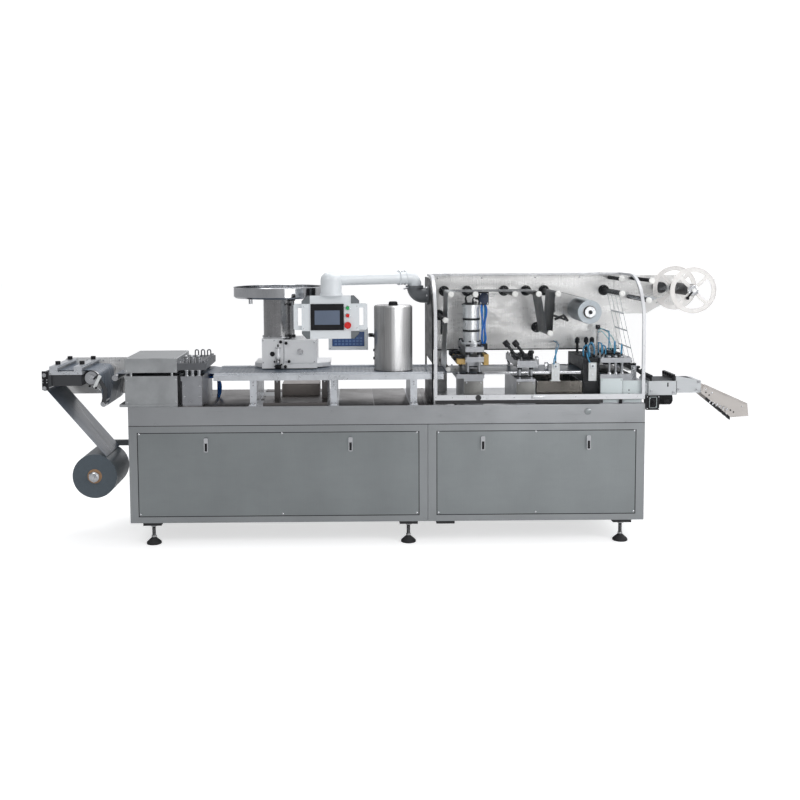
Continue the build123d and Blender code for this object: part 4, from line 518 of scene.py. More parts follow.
def capScrew(size):      # socket head cap screw, named by its thread
    head, socket = size * 0.78, size * 0.45
    return turned(((0, socket), (socket, socket), (socket, size), (head * 0.9, size), (head, size * 0.9),
                   (head, -0.2), (0, -0.2)), 14)


screwM5, screwM6, screwM8 = (capScrew(size) for size in (5, 6, 8))
nutM8, nutM12, nutM20 = hexNut(13, 6.5), hexNut(19, 10), hexNut(34, 12)
panHead = turned(((0, 1.2), (1.2, 1.5), (1.6, 2.6), (4.2, 2.2), (5.6, 0.9), (5.8, -0.2), (0, -0.2)), 14)
flutedKnob = turned(((0, 21), (7, 20.6), (12, 19), (15.2, 15), (15.8, 10), (15.6, 5), (12, 1.5), (8, 0),
                     (0, 0)), 20)
ballKnob = turned(((0, 26), (5, 25), (9.5, 21.5), (12, 16), (12, 11), (9.8, 6), (6.5, 2.6), (5.8, 0), (0, 0)), 18)
pushFitting = turned(((0, 19), (4.2, 19), (5.2, 17.8), (5.2, 14), (4.4, 13), (6.4, 12.4), (6.4, 5), (7.4, 4.4),
                      (7.4, 0), (0, 0)), 16)

# cabinets: panel screws, latch recesses, plug and feet
cabinet = {"screws": (60, 900, 1690, 1818, 2390, 2968), "screwLevels": (-160, -640),
           "latches": (455, 1302, 2078, 2697), "latchLevel": -225, "feet": (125, 1643, 2906),
           "footDepths": (-280, 280), "thread": {"turns": 22, "pitch": 2.6, "core": 9.2, "crest": 10.8}}
makePiece("panelScrews", "turnedSteel", {"stamps": [
    (panHead, outward, grid(cabinet["screws"], depth, cabinet["screwLevels"]))
    for depth, outward in ((-339, front), (339, back))]})
makePiece("latchInlays", "blackPlastic", {"blocks": [
    (x - 8, y, cabinet["latchLevel"] - 37, x + 8, y + 1.6, cabinet["latchLevel"] + 12, 1.2)
    for x in cabinet["latches"] for y in (-355.2, 353.4)]})
makePiece("blindPlug", "doorSteel", {"stamps": [
    (turned(((0, 1.0), (17.5, 0.8), (20.3, -0.4), (20.3, -2.0), (0, -2.0)), 40), front, [(2692, -343, -44)])]})
count, pitch, core, crest = cabinet["thread"].values()
thread = [(0, 0)]
for step in range(count):
    thread += [(core, step * pitch), (crest, step * pitch + pitch / 2)]
thread += [(core, count * pitch), (0, count * pitch)]
makePiece("footThreads", "studSteel", {"stamps": [
    (turned(thread, 20), up, grid(cabinet["feet"], cabinet["footDepths"], -790)),
    (nutM20, up, grid(cabinet["feet"], cabinet["footDepths"], -724.5), 1.0, 0.3),
    (nutM20, up, grid(cabinet["feet"], cabinet["footDepths"], -790), 0.8, 0.9)]})
makePiece("footPads", "footRubber", {"stamps": [
    (band(43.2, 44.4, 8.8, 0.8, 40), up, grid(cabinet["feet"], cabinet["footDepths"], -829.6))]})
print("cabinet details made")

# unwind arm and film roll
unwind = {"station": -224, "height": -425, "chuck": -282, "jaws": turns(3, 0.5)}
roll = (unwind["station"], unwind["chuck"], unwind["height"])
makePiece("rollChuck", "turnedSteel", {
    "stamps": [
        (turned(((0, 8), (8, 8), (9.5, 6), (22, 6), (24, 4), (30.5, 2.5), (30.5, -1), (0, -1)), 32), front, [roll]),
        (screwM6, front, boltCircle((-224, -287, -425), 15.5, unwind["jaws"])),
        (nutM12, front, [(-224, -299, -425)], 1.0, 0.2)],
    "blocks": [(x - 5, y - 4, z - 5, x + 5, y + 12, z + 5, 1.5)
               for x, y, z in boltCircle(roll, 28, unwind["jaws"])]}, "forming_reel")
makePiece("coreFace", "rollCard", {"stamps": [
    (turned(((29, 1.2), (42.6, 1.2), (43, 0.6), (43, -0.4)), 48), front, [(-224, -265, -425)])]}, "forming_reel")
makePiece("unwindKnobs", "blackPlastic", {
    "stamps": [
        (turned(((0, 24), (9, 23), (14, 20), (16, 14), (15, 6), (11, 2), (9, 0), (0, 0)), 20), front,
         [(-232, 82, -292)]),
        (turned(((0, 10), (18, 10), (21, 8), (21, 0), (0, 0)), 24), back, [(-224, 108, -425)])],
    "blocks": [(-44, 68, -322, -13, 122, -266, 3)]})
makePiece("unwindScrews", "studSteel", {"stamps": [
    (screwM8, -along, grid(-6, (62, 128), (-343, -245))), (nutM12, back, [(-224, 118, -425)])]})
print("unwind details made")

# infeed: screws, guide drum's bracket and tension spring
makePiece("infeedScrews", "turnedSteel", {
    "stamps": [
        (screwM6, front, grid((-440, -350, -250, -150), 116, 228)),
        (screwM6, front, grid((-450, -372, -290), -320, 202), 0.8),
        (screwM5, front, grid((-494, -470), -330, (150, 165))),
        (screwM6, front, [(-485, -337, 193), (-485, -337, 116), (-75, -326, 171), (-146, -337, 19)]),
        (turned(((0, 3), (6, 3), (7, 5), (14, 5), (15, 3), (19.5, 3), (19.5, -0.5), (0, -0.5)), 28), front,
         [(-213, -330, 173)])],
    "coils": [(-205, -324, 132, -158, -324, 100, 4.2, 1.0, 9)]})
lean = Matrix.Rotation(0.45, 3, "Y")
makePiece("drumBracket", "whitePaint", {"blocks": [
    (-185, -340, 112, -167, -334, 192, 1.5, lean),
    (-185, -334, 172, -167, -318, 190, 1.5, lean, at(-176, -337, 152))]})
makePiece("infeedBlacks", "blackPlastic", {
    "stamps": [
        (screwM8, front, [(-222, -322, 126), (-200, -322, 120), (-181, -341, 118), (-190, -341, 172)]),
        (band(39, 41.5, 10, 1, 36), back, [(-213, -318, 173)])],
    "blocks": [(-499.4, -331, 108, -463, -329, 212, 0.6)]})
print("infeed details made")

# heater: cover screws and cable glands
heater = {"screws": (-8, 280), "levels": (26, 158, 212), "glands": (30, 70, 110)}
makePiece("heaterScrews", "turnedSteel", {"stamps": [
    (panHead, front, grid(heater["screws"], -320, heater["levels"]), 0.6),
    (panHead, back, grid(heater["screws"], 115.7, heater["levels"]), 0.6),
    (panHead, up, grid((0, 272), (-303, 99), 285), 0.7)]})
makePiece("heaterGlands", "blackPlastic", {
    "stamps": [(turned(((0, 22), (5, 22), (6, 20), (9, 14), (11, 12), (11, 6), (13, 5), (13, 0), (0, 0)), 16), back,
                grid(heater["glands"], 115.7, 240))],
    "blocks": [(-22, -326, 0, 290, -324, 5, 0.8)]})
print("heater details made")

# forming station: screws, springs and rings round the posts, hoses and their fittings
former = {"posts": (343, 377, 415), "front": -300, "back": 96, "top": 255}
makePiece("formerSprings", "turnedSteel", {
    "coils": [(x, former["front"], former["top"], x, former["front"], former["top"] + 33, 15.5, 1.6, 5)
              for x in former["posts"]],
    "stamps": [
        (band(11.2, 14.5, 5.4, 0.4, 20), up,
         grid(former["posts"], (former["front"], former["back"]), (178, 209.4))),
        (nutM12, up, grid(former["posts"], former["front"], former["top"] + 34), 1.0, 0.4),
        (screwM8, up, grid((304, 446), (-290, -180, -60, 60), former["top"])),
        (screwM6, front, grid((330, 420), -320, (60, 120)))]})
makePiece("formerFittings", "blackPlastic", {"stamps": [
    (pushFitting, along, [(433, 60, 135)], 1.25), (pushFitting, up, [(477, 60, 0)], 1.25)]})
makePiece("formerHoses", "hoseBlue", {"thickHoses": [
    (9, (430, 40, 150), (462, 40, 146), (482, 40, 100), (484, 40, 50), (484, 40, 1)),
    (8, (430, 20, 128), (470, 18, 124), (496, 14, 90), (496, 20, 40), (486, 18, 1))]})
makePiece("heaterLip", "trackSteel", {"blocks": [(-17, -320.8, 172, 289, -319.6, 180, 0.4)]})
print("forming details made")

# dark strips in the door gaps, which are painted shade, a dark strip along the joint under the table's skirt, and the
# cover plates on the table
gapStrips = {"doors": ((49, 1706), (1806, 2979)), "low": -655, "high": -152, "width": 5, "joint": (-114, -110),
         "end": 3028,
         "covers": ((302, 704, -336, 336), (758, 1128, -112, 54), (758, 1122, 226, 336), (1234, 1650, -336, 336),
                    (1702, 1780, -336, 336))}
low, high, width = gapStrips["low"], gapStrips["high"], gapStrips["width"]
# painted shade: these dark strips round each door stand for the shade in the door gaps, and dark strips also run along
# the joint under the table's skirt
makePiece("doorGapShade", "footRubber", {"blocks": [
    *((x0, y, z0, x1, y + 1.2, z1) for left, right in gapStrips["doors"] for y in (-339.6, 338.4)
      for x0, z0, x1, z1 in ((left, low, right, low + width), (left, high - width, right, high),
                             (left, low, left + width, high), (right - width, low, right, high))),
    *((0.2, y, gapStrips["joint"][0], gapStrips["end"] - 0.2, y + 1, gapStrips["joint"][1]) for y in (-340.5, 339.5)),
    *((x, -340, gapStrips["joint"][0], x + 1, 340, gapStrips["joint"][1]) for x in (-0.5, gapStrips["end"] - 0.5))]})
# cover plates on the table: their dark colour is partly the plates' own and partly painted reflection and shade of the
# table there
makePiece("tableCoversPaintedReflection", "warmSteel", {
    "blocks": [(x0, near, -0.2, x1, far, 1.6, 0.8) for left, right, near, far in gapStrips["covers"]
               for x0, x1 in ((left, (left + right) / 2 - 1), ((left + right) / 2 + 1, right))],
    "stamps": [(panHead, up, grid((left + 12, right - 12), (near + 14, far - 14), 1.6), 0.8)
               for left, right, near, far in gapStrips["covers"]]})
print("seals and covers made")

# guide track: rail screws, leg bolts and the pockets formed in the film, which stop under the cover and the feeder
track = {"legs": (732, 1206, 1676), "columns": range(520, 1940, 23), "rows": range(-230, 31, 26)}
makePiece("trackScrews", "turnedSteel", {
    "stamps": [
        (panHead, up, grid(range(560, 1850, 118), (-272.3, 72.3), 188), 0.72),
        (screwM8, up, [(x + side, -322, 8) for x in track["legs"] for side in (-11, 11)]),
        (screwM6, front, grid(track["legs"], -303, (120, 136))),
        (screwM6, front, grid((862, 1148), -154, (120, 136)))],
    "blocks": [(x - 0.6, -309.3, 148, x + 0.6, -309, 180) for x in (1000, 1850)]})
makePiece("filmPockets", "runningFilm", {"stamps": [
    (turned(((7.6, 0), (7.2, 0.35), (6.6, 0.35), (6.0, 0.1), (0, 0.1)), 12), up,
     [(x, y, 181) for x in track["columns"] for y in track["rows"]
      if not (1450 < x < 1680 or 700 < x < 1180 and y > -66)])]})
print("track details made")

# pill feeder: bowl's bead, drum's rings, door screws, gate and knobs
feeder = {"station": 860, "depth": 85, "bowl": 616, "housing": 370, "bowlRadius": 277, "bead": 2.6,
          "knobs": ((936, -12, 576), (938, -12, 380), (880, -64, 352), (913, -64, 344), (930, -64, 232),
                    (908, -64, 200)),
          "smallKnobs": ((842, -76, 232), (885, -76, 214), (846, -76, 203), (872, -76, 196))}
x, y = feeder["station"], feeder["depth"]
bead = [(feeder["bowlRadius"] + feeder["bead"] * math.cos(step * math.pi / 5),
         66 + feeder["bead"] * math.sin(step * math.pi / 5)) for step in range(11)]
makePiece("feederScrews", "turnedSteel", {
    "stamps": [
        (turned(bead, 96), up, [(x, y, feeder["bowl"])]),
        (turned(((95, 0), (103, 0), (104, 1), (104, 5), (103, 6), (95, 6)), 64), up,
         [(x, y, feeder["bowl"] - 6), (x, y, feeder["housing"])]),
        (screwM5, up, boltCircle((x, y, feeder["housing"] + 6), 99, turns(8, 0.2), along, back)),
        (screwM5, front, grid((912, 1084), -60, (228, 346))),
        (screwM5, front, grid((772, 840), -60, (224, 360))),
        (turned(((0, 3), (12, 3), (13, 5), (17, 5), (18, 4), (18, 0)), 32), front, [(998, -66, 291)])],
    "blocks": [(893.6, -60.6, 212, 896.4, -60, 370)]})
makePiece("feederBlacks", "blackPlastic", {
    "bars": [*((x, 12, z, x, y - 4, z, 4.5, 12) for x, y, z in feeder["knobs"][:2]),
             (863, -67.5, 320, 863, -67.5, 336, 4, 12, 1)],
    "stamps": [
        (ballKnob, front, feeder["knobs"], 0.82), (ballKnob, front, feeder["smallKnobs"], 0.5),
        (turned(((0, 7), (12, 7), (14, 5.5), (15, 0)), 28), front, [(828, -60, 277)])],
    "blocks": [(851, -83, 222, 875, -60, 246, 2), (845, -79, 190, 882, -60, 212, 2)]})
makePiece("feederGate", "mirrorSteel", {
    "stamps": [(band(15, 16.6, 6, 0.6, 28), up, grid(863, -67.5, (250, 312)))],
    "blocks": [(855, -86, 214, 871, -80, 240, 1)]})
print("feeder details made")

# cylindrical cover and the controller's face
cover = {"station": 1565, "depth": -100, "foot": 181, "top": 574, "latches": (386, 301, 252)}
makePiece("coverBlacks", "blackPlastic", {
    "stamps": [
        (band(115.6, 117.2, 4.4, 0.4, 72), up,
         [(cover["station"], cover["depth"], cover["foot"])]),
        (band(27, 29.5, 4, 0.6, 36), up,
         [(cover["station"], cover["depth"], cover["top"])]),
        (ballKnob, front, [(1432, -52, 387)], 0.7)],
    "blocks": [*((1443, -108, z - 8, 1452, -92, z + 8, 2) for z in cover["latches"]),
               (1420, -51.5, 375.5, 1443, -28.5, 398.5, 2)]})
makePiece("coverSeam", "studSteel", {"blocks": [
    (1563.8, -217.2, 185, 1566.2, -216, 566),
    (1564, -216.6, 185, 1566, -215.8, 566, 0, Matrix.Rotation(2.1, 3, "Z"), at(1565, -100, 375))]})
makePiece("controllerFace", "bluePlastic", {"blocks": [(1194.4, -52.4, 320.4, 1390.6, -50.1, 409.6, 0.6)]})
makePiece("controllerKeys", "keyBlue", {"blocks": [
    (x, -53.6, z, x + 15, -52.3, z + 11, 1) for x in range(1208, 1363, 22) for z in (328, 346, 364)]})
makePiece("controllerScrews", "turnedSteel", {"stamps": [
    (screwM5, front, grid((1181, 1404), -60, (308, 422)), 0.9),
    (screwM5, back, grid((1200, 1385), 30, (312, 418)), 0.9)]})
print("cover and controller details made")

# operator panel: corner plates, trim, back cover, glands and what the screen shows
panel = {"middle": 1190, "half": 169, "levels": ((390, 1), (642, -1)), "buttons": (570, 526, 470),
         "corner": ((47, 1), (31, 1), (1, 31), (1, 44), (47, 44))}
bm = bmesh.new()
for side in (-1, 1):
    for level, rise in panel["levels"]:
        edge = panel["middle"] + side * panel["half"]
        plate = bm.faces.new([bm.verts.new(at(edge - side * inset, -292.9, level + rise * lift))
                              for inset, lift in panel["corner"]])
        rim = bmesh.ops.extrude_edge_only(bm, edges=list(plate.edges))["geom"]
        deep = [part for part in rim if isinstance(part, bmesh.types.BMVert)]
        bmesh.ops.translate(bm, vec=back / 1000, verts=deep)
finishPiece("screenCorners", bm, "cornerGrey", "operator_panel")
makePiece("screenTrim", "turnedSteel", {"stamps": [
    (turned(((11, 0), (14.4, 0.4), (14.4, 3.0), (11.2, 3.6)), 32), front, grid(1291, -290, panel["buttons"])),
    (panHead, front, grid((1034, 1346), -290, (452, 580)), 0.7),
    (screwM5, back, grid((1050, 1330), -245, (450, 586)))]}, "operator_panel")
makePiece("screenBack", "greyPaint", {"blocks": [
    (1046, -245, 446, 1334, -243, 590, 1),
    *((1130, -243.2, z, 1250, -241.6, z + 4, 0.6) for z in range(470, 525, 9)),
    (1021.4, -290.6, 515, 1358.6, -290, 515.8)]}, "operator_panel")
makePiece("screenGlands", "blackPlastic", {"stamps": [
    (turned(((0, 18), (5, 18), (6, 15), (9, 12), (11, 10), (11, 4), (12.5, 3), (12.5, 0)), 18), back,
     grid((1120, 1190, 1260), -245, 416))]}, "operator_panel")
makePiece("screenTiles", "tileGlow", {"blocks": [
    *((x, -293.6, z, x + 28, -293.1, z + 18) for x in (1106, 1140, 1174) for z in (466, 490)),
    (1102, -293.6, 530, 1240, -293.1, 537), (1214, -293.6, 490, 1236, -293.1, 520)]}, "operator_panel")
makePiece("screenAlert", "redPlastic", {"blocks": [(1218, -293.7, 455, 1238, -293.1, 462)]}, "operator_panel")

# swinging arm: clamp rings and screws round the tube, bolts on the bracket
arm = {"elbow": (1195, -267.5, 738), "swivel": (1698, -50, 738), "rings": (0.80, 0.872), "screws": (0.825, 0.858)}
elbow, reach = Vector(arm["elbow"]), Vector(arm["swivel"]) - Vector(arm["elbow"])
makePiece("armRings", "greyPaint", {"stamps": [
    (band(42, 45, 7, 0.8, 40), reach, [elbow + reach * share for share in arm["rings"]]),
    (band(66, 67.4, 5, 1, 48), up, [(1195, -267.5, 646)])]}, "swinging_arm")
outwards = [Matrix.Rotation(angle, 3, reach) @ up for angle in (0.5, 2.6, 4.7)]
makePiece("armScrews", "turnedSteel", {"stamps": [
    (screwM6, outward, [elbow + reach * share + outward * 40.5]) for share in arm["screws"] for outward in outwards]},
    "swinging_arm")
makePiece("bracketScrews", "turnedSteel", {
    "stamps": [(screwM8, -along, boltCircle((1774, -50, 629), 50, turns(6), back, up))],
    "bars": [(1660, -96, 680, 1630, -128, 672, 5, 12, 1)]})
print("operator panel and arm details made")

# roller panel and end plate: screws, ribbed guide shafts, roller caps and brackets; guides are given as
# station, height, radius and the depth of the shaft's front end
enclosure = {"rollers": ((1901, 641), (2046, 641), (2280, 641), (2420, 641), (2534, 641), (1868, 490), (2489, 407),
                         (2913, 640)),
             "guides": ((3070, 599, 10, -230), (3085, 715, 8, -240), (2947, 720, 8, -92)),
             "panelScrews": (1860, 2140, 2480, 2760, 3002)}
rollers, guides = enclosure["rollers"], enclosure["guides"]
makePiece("panelTrim", "turnedSteel", {"stamps": [
    (panHead, -along, grid(1782, -296, range(60, 460, 78)), 0.8),
    (panHead, front, grid(enclosure["panelScrews"], 205, (284, 724))),
    (panHead, back, grid(enclosure["panelScrews"], 340, (284, 724))),
    (screwM6, up, grid((1883, 1931, 2838, 2886), 216, 749), 0.7),
    (screwM6, front, grid((3200, 3250, 3380), 199, (560, 715)), 0.9),
    (screwM6, front, grid((2992, 3010), 199, (500, 720)), 0.9)]})
rib = turned(((13.6, -2.2), (15.4, -1.4), (15.4, 1.4), (13.6, 2.2)), 16)
makePiece("shaftRings", "blackPlastic", {
    "blocks": [(1781, -323.5, 0, 1791, -320.5, 460, 1), (1842, 203.6, 262, 3020, 205.4, 270, 0.6),
               (1845, 204, 736, 3017, 208, 742, 0.6)],
    "bars": [(x, first + 1, z, x, 199 if x > 2980 else 205, z, radius + 2, 24) for x, z, radius, first in guides],
    "stamps": [
        (rib, front, grid(2913, range(-222, 190, 13), 640)),
        *((rib, front, grid(x, range(first + 8, 192, 13), z), (radius + 2) / 13.2)
          for x, z, radius, first in guides),
        (turned(((14, 0), (24, 0.6), (25, 2), (25, 6)), 32), front, [(x, 189, z) for x, z in rollers]),
        (turned(((14, 0), (17.4, 0.5), (17.4, 5), (14, 6)), 24), back, [(x, -229.5, z) for x, z in rollers])]})
makePiece("capFaces", "whitePlastic", {"stamps": [
    (turned(((0, 1.2), (5, 1.4), (6.5, 2.4), (13, 2.0), (16.2, 0.4), (17.2, -1.4), (17.2, -7), (16.8, -8)), 28),
     front, [(x, -240, z) for x, z in rollers]),
    (turned(((0, 1.6), (12, 1.4), (16.4, 0), (17.4, -1.6), (17.4, -9), (16.6, -10)), 28), front,
     [(x, first - 10, z) for x, z, radius, first in guides])]})
makePiece("panelBrackets", "darkSteel", {
    "blocks": [(2560, 196, 500, 2606, 205, 560, 3), (1880, 186, 366, 1922, 205, 470, 2)],
    "stamps": [(nutM8, front, [(1902, 186, 452), (1902, 186, 384), (2583, 196, 545), (2583, 196, 515)]),
               (ballKnob, front, [(1852, -226, 470)], 0.9)],
    "bars": [(1852, -230, 470, 1866, -230, 488, 4, 12),
             *((2936, -324, z, 2936, -321, z, 4, 16, 0.8) for z in (56, 78))]})
print("enclosure details made")

# lidding roll's chuck
chuck = {"front": (2725, -225, 531), "angles": (0.4, 2.494, 4.588)}
makePiece("foilChuckRing", "blackPlastic", {"stamps": [
    (turned(((12.6, 12), (30, 12), (36, 9), (37, 4), (37, 0), (12.6, 0)), 48), front, [chuck["front"]])]},
    "lidding_reel")
makePiece("foilChuck", "cylinderSteel", {"stamps": [
    (turned(((12.6, 19), (15, 19), (16, 17.6), (31, 17), (33, 15), (33, 12), (12.6, 12)), 48), front,
     [chuck["front"]]),
    (screwM6, front, boltCircle((2725, -242, 531), 24, chuck["angles"]))]}, "lidding_reel")

# heat-seal station: insulators and bushes, tie rods and nuts, valve, hoses and fittings
seal = {"posts": (1995, 2063), "postDepths": (-290, 90), "head": 338, "station": 2037, "depth": -105, "top": 574}
cx, cy, head, top = seal["station"], seal["depth"], seal["head"], seal["top"]
makePiece("sealInsulators", "insulator", {"blocks": [
    (1931, -302, 234, 1979, 60, 264, 2), (2087.2, -302, 228, 2117, -150, 291, 2),
    (2087.2, -60, 228, 2117, 92, 291, 2)]}, "sealing_ram")
makePiece("platenBlacks", "blackPlastic", {
    "blocks": [(1916, -262, 252, 1979, -170, 278, 3), (1916, -20, 252, 1979, 62, 278, 3),
               (1990, -232, 208, 2074, 12, 214, 1)],
    "stamps": [(screwM6, up, grid(1935, (-250, -190, -10, 50), 278)),
               (screwM6, up, grid(2103, (-285, -225, -45, 60), 291))]}, "sealing_ram")
makePiece("sealBlacks", "blackPlastic", {
    "stamps": [
        (turned(((9.2, 0), (15, 0.6), (15, 16), (13, 18)), 24), -up,
         grid(seal["posts"], seal["postDepths"], 307)),
        (nutM12, up, grid(seal["posts"], seal["postDepths"], head), 1.25, 0.3),
        (turned(((9.2, 12), (13, 11), (15.5, 3), (15.5, 0)), 24), up,
         grid(seal["posts"], seal["postDepths"], 177)),
        (nutM8, up, boltCircle((cx, cy, 350), 54, turns(6, 0.26), along, back), 1.1, 0.2),
        (screwM6, up, boltCircle((cx, cy, top), 54, turns(6, 0.26), along, back)),
        (band(48.8, 52, 13.6, 0.6, 56), up, [(cx, cy, 410), (cx, cy, 480)]),
        (pushFitting, up, [(cx - 30, cy + 10, top), (cx + 8, cy - 24, top)], 1.3),
        (pushFitting, up, [(2101, -124, head), (2117, -124, head)], 1.1),
        (pushFitting, -up, [(2101, -124, top), (2117, -124, top)]),
        (pushFitting, -along, [(2080, -115, 610)], 1.1)],
    "blocks": [(2000, -150, top, 2034, -128, top + 14, 2)],
    "hoses": [
        (4, (2007, -95, 596), (2007, -95, 622), (cx, -101, 640), (2060, -112, 630), (2082, -112, 622)),
        (4, (2045, -129, 596), (2043, -131, 608), (2057, -127, 618), (2082, -124, 600)),
        (3.4, (2004, -140, 586), (1996, -142, 612), (2020, -136, 636), (2082, -130, 638))]})
makePiece("sealScrews", "turnedSteel", {
    "stamps": [
        (screwM8, up, grid((1992, 2074), (-262, -60, 60), head)),
        (screwM8, up, grid(1940, (-305, -100, 100), 177)),
        (screwM6, front, grid((1984, 2068), -320, (30, 128))),
        (screwM5, front, grid((2088, 2130), -140, (584, 640)), 0.8),
        (ballKnob, up, [(cx + 30, cy + 20, top)], 0.7)],
    "bars": [(2138, -118, 636, 2192, -118, 636, 2.4, 10), (2138, -118, 624, 2176, -118, 624, 2.4, 10)]})
makePiece("valveFace", "navyPlastic", {"blocks": [
    (2083, -142.4, 580, 2135, -140, 644, 1), (2084, -138, 650, 2134, -92, 656, 2)]})
makePiece("valveHoses", "hoseBlue", {"hoses": [
    (6, (2096, -130, top), (2094, -134, 540), (2104, -132, 460), (2098, -132, 380), (2104, -130, head)),
    (6, (2118, -130, top), (2126, -134, 530), (2114, -134, 450), (2122, -132, 370), (2114, -130, head))]})
makePiece("blockFaces", "blockSteel", {"blocks": [
    (1970, -321, 3, 2082, -319.8, 136, 0.5), (2277, -321, 3, 2387, -319.8, 132, 0.5)]})
print("seal details made")

# indexing station: clamps, knobs, screws, and the rails that carry the film to the cutter
index = {"toggles": (2290, 2345), "lever": Vector((-58, 0, 75)), "knob": 86, "top": 255,
         "rails": ((-276, -266), (66, 76))}
lean, top = index["lever"].normalized(), index["top"]
makePiece("indexBlacks", "blackPlastic", {
    "stamps": [
        (flutedKnob, lean, [Vector((x, -250, 268)) + lean * index["knob"] for x in index["toggles"]], 1.1),
        (ballKnob, up, [(x + 14, -258, 281) for x in index["toggles"]], 0.7),
        (screwM8, front, [(x + 8, -270, 268) for x in index["toggles"]]),
        (flutedKnob, up, [(2378, -230, 284)], 1.12), (nutM12, up, [(2378, -230, top)]),
        (flutedKnob, up, grid((2310, 2368), (-120, 40), top), 0.9),
        (turned(((9.2, 0), (13, 0.6), (13, 12), (11, 14)), 20), -up, grid((2298, 2366), (-300, 96), 215))],
    "blocks": [*((x - 30, -272, 262, x + 6, -228, 284, 3, Matrix.Rotation(0.5, 3, "Y")) for x in index["toggles"]),
               (2262, -324, 158, 2372, -316, 168, 1)],
    "bars": [(x - 16, -276, 276, x - 16, -224, 276, 5, 14, 1) for x in index["toggles"]]})
makePiece("indexScrews", "turnedSteel", {
    "stamps": [
        (screwM8, up, grid((2292, 2388), (-306, 4, 100), top)),
        (screwM6, front, grid((2290, 2374), -320, (30, 124))),
        (screwM5, front, grid((2292, 2390), -320, 235))],
    "blocks": [
        *((2089.4, near, 170, 2672.6, far, 186, 1) for near, far in index["rails"]),
        *((x - 14, near, 148, x + 14, far, 170, 1) for near, far in index["rails"] for x in (2296, 2360)),
        *((2456, y, 186, 2480, y + 12, 236, 1.5) for y in (-244, 64)),
        *((x, -291, 124, x + 4, 41, 130.6, 1) for x in (2404, 2662))]})

# sensors in front of the scrap bin and the cutter, and the loose hoses behind them
sensors = (2511, 2728)
makePiece("sensorHeads", "greyPaint", {
    "blocks": [(x - 13, -302, 206, x + 13, -296, 230, 2) for x in sensors],
    "stamps": [(panHead, front, grid((2497, 2525, 2714, 2742), -296, (146, 188)), 0.6)],
    "bars": [(x, -300, 166, x, -295, 166, 6, 20, 1) for x in sensors]})
# painted shade: a grey patch on each sensor's face stands for the shade in a small recess
makePiece("sensorRecessShade", "cornerGrey", {"blocks": [
    (x - 6, -302.6, 213, x + 4, -301.8, 223, 0.3) for x in sensors]})
makePiece("cutterHoses", "hoseTeal", {"hoses": [
    (4, (2500, -298, 230), (2502, -296, 262), (2530, -230, 296), (2596, 40, 318), (2600, 204, 318)),
    (5, (2694, -210, 266), (2692, -212, 310), (2708, -226, 334), (2722, -236, 306), (2722, -238, 266)),
    (5, (2732, -180, 266), (2728, -182, 318), (2744, -196, 346), (2758, -206, 312), (2756, -206, 266)),
    (3.6, (2712, -296, 238), (2700, -296, 268), (2702, -260, 290), (2708, -236, 264))]})
makePiece("clearHoses", "hoseClear", {"hoses": [
    (2.8, (2853, 84, 396), (2880, 70, 402), (2922, 20, 360), (2936, -20, 300), (2936, -24, 272)),
    (2.8, (2853, 86, 384), (2872, 60, 388), (2900, 0, 340), (2906, -30, 300), (2906, -34, 281))]})
print("index details made")

# punching station: covers, die parts, springs, fittings and knobs
punch = {"top": 268, "posts": (2825, 2862, 2899), "springs": ((2800, -40), (2800, 30), (2824, 60)),
         "fittings": ((2792, -250), (2792, -170), (2812, -262), (2812, -190), (2872, -230), (2895, -160), (2905, -260),
                      (2925, -200), (2884, -60)), "knobRows": (-214, -70)}
top = punch["top"]
makePiece("punchCovers", "coverGrey", {"blocks": [
    (2770, -323, 6, 2898, -320, 147, 1.5), (2901, -322, 6, 3008, -320, 134, 1.5),
    (3010, -300, 8, 3011.5, 96, 130, 1)]})
makePiece("punchScrews", "turnedSteel", {
    "stamps": [
        (screwM5, front, grid((2778, 2890), -323, (16, 138)), 0.8),
        (screwM8, up, grid((2784, 2936), (-304, 0, 100), top)),
        (nutM12, up, grid(punch["posts"], (-300, 96), top), 1.0, 0.2),
        (turned(((8.2, 8), (11, 7), (12.5, 2), (12.5, 0)), 20), up, grid(punch["posts"], (-300, 96), 172)),
        (screwM6, up, grid((2690, 2752), (-120, 60), 262)),
        (nutM12, front, [(2985, -248, 195)]),
        (turned(((8.4, -0.5), (8.9, 0), (8.4, 0.5)), 16), up, grid(2853, 92, range(290, 400, 8)))],
    "bars": [(2853, 92, top, 2853, 92, 402, 8.4, 20)]})
makePiece("punchBlacks", "blackPlastic", {
    "blocks": [
        (2804, -266, 222, 2922, 62, 239.8, 2), (2786, -286, 172.2, 2940, 82, 178.6, 1),
        (2846, -150, top, 2930, 20, 280, 2), (2676, -292, 40, 2764, -289.6, 120, 1),
        *((2700 + step * 16, -230, 262, 2710 + step * 16, -60, 268 + step * 3, 1) for step in range(4))],
    "stamps": [
        (pushFitting, up, [(x, y, top) for x, y in punch["fittings"]], 0.86),
        (pushFitting, front, [(2884, 205, 400), (2615, 205, 312)], 0.86),
        (pushFitting, up, [(2511, -293, 238)], 0.7),
        (flutedKnob, up, [(2840, -292, top), (2880, -286, top), (2856, -100, 280), (2900, -100, 280),
                          (2912, -20, 280)], 0.72),
        (ballKnob, up, grid((2725, 2780, 2816), 92, 326), 1.05),
        (flutedKnob, up, [(2972 + step * 24, y, 228 - step * 18) for y in punch["knobRows"] for step in range(4)],
         0.74)],
    "bars": [(2936, y, 246, 3080, y, 140, 7, 14, 1) for y in punch["knobRows"]]})
makePiece("punchSprings", "studSteel", {
    "coils": [(x, y, top, x, y, top + 32, 8, 1.2, 6, 12) for x, y in punch["springs"]],
    "bars": [(x, y, top, x, y, top + 33, 4, 12) for x, y in punch["springs"]],
    "stamps": [(screwM8, up, [(x, y, top + 32) for x, y in punch["springs"]])]})
print("punch details made")

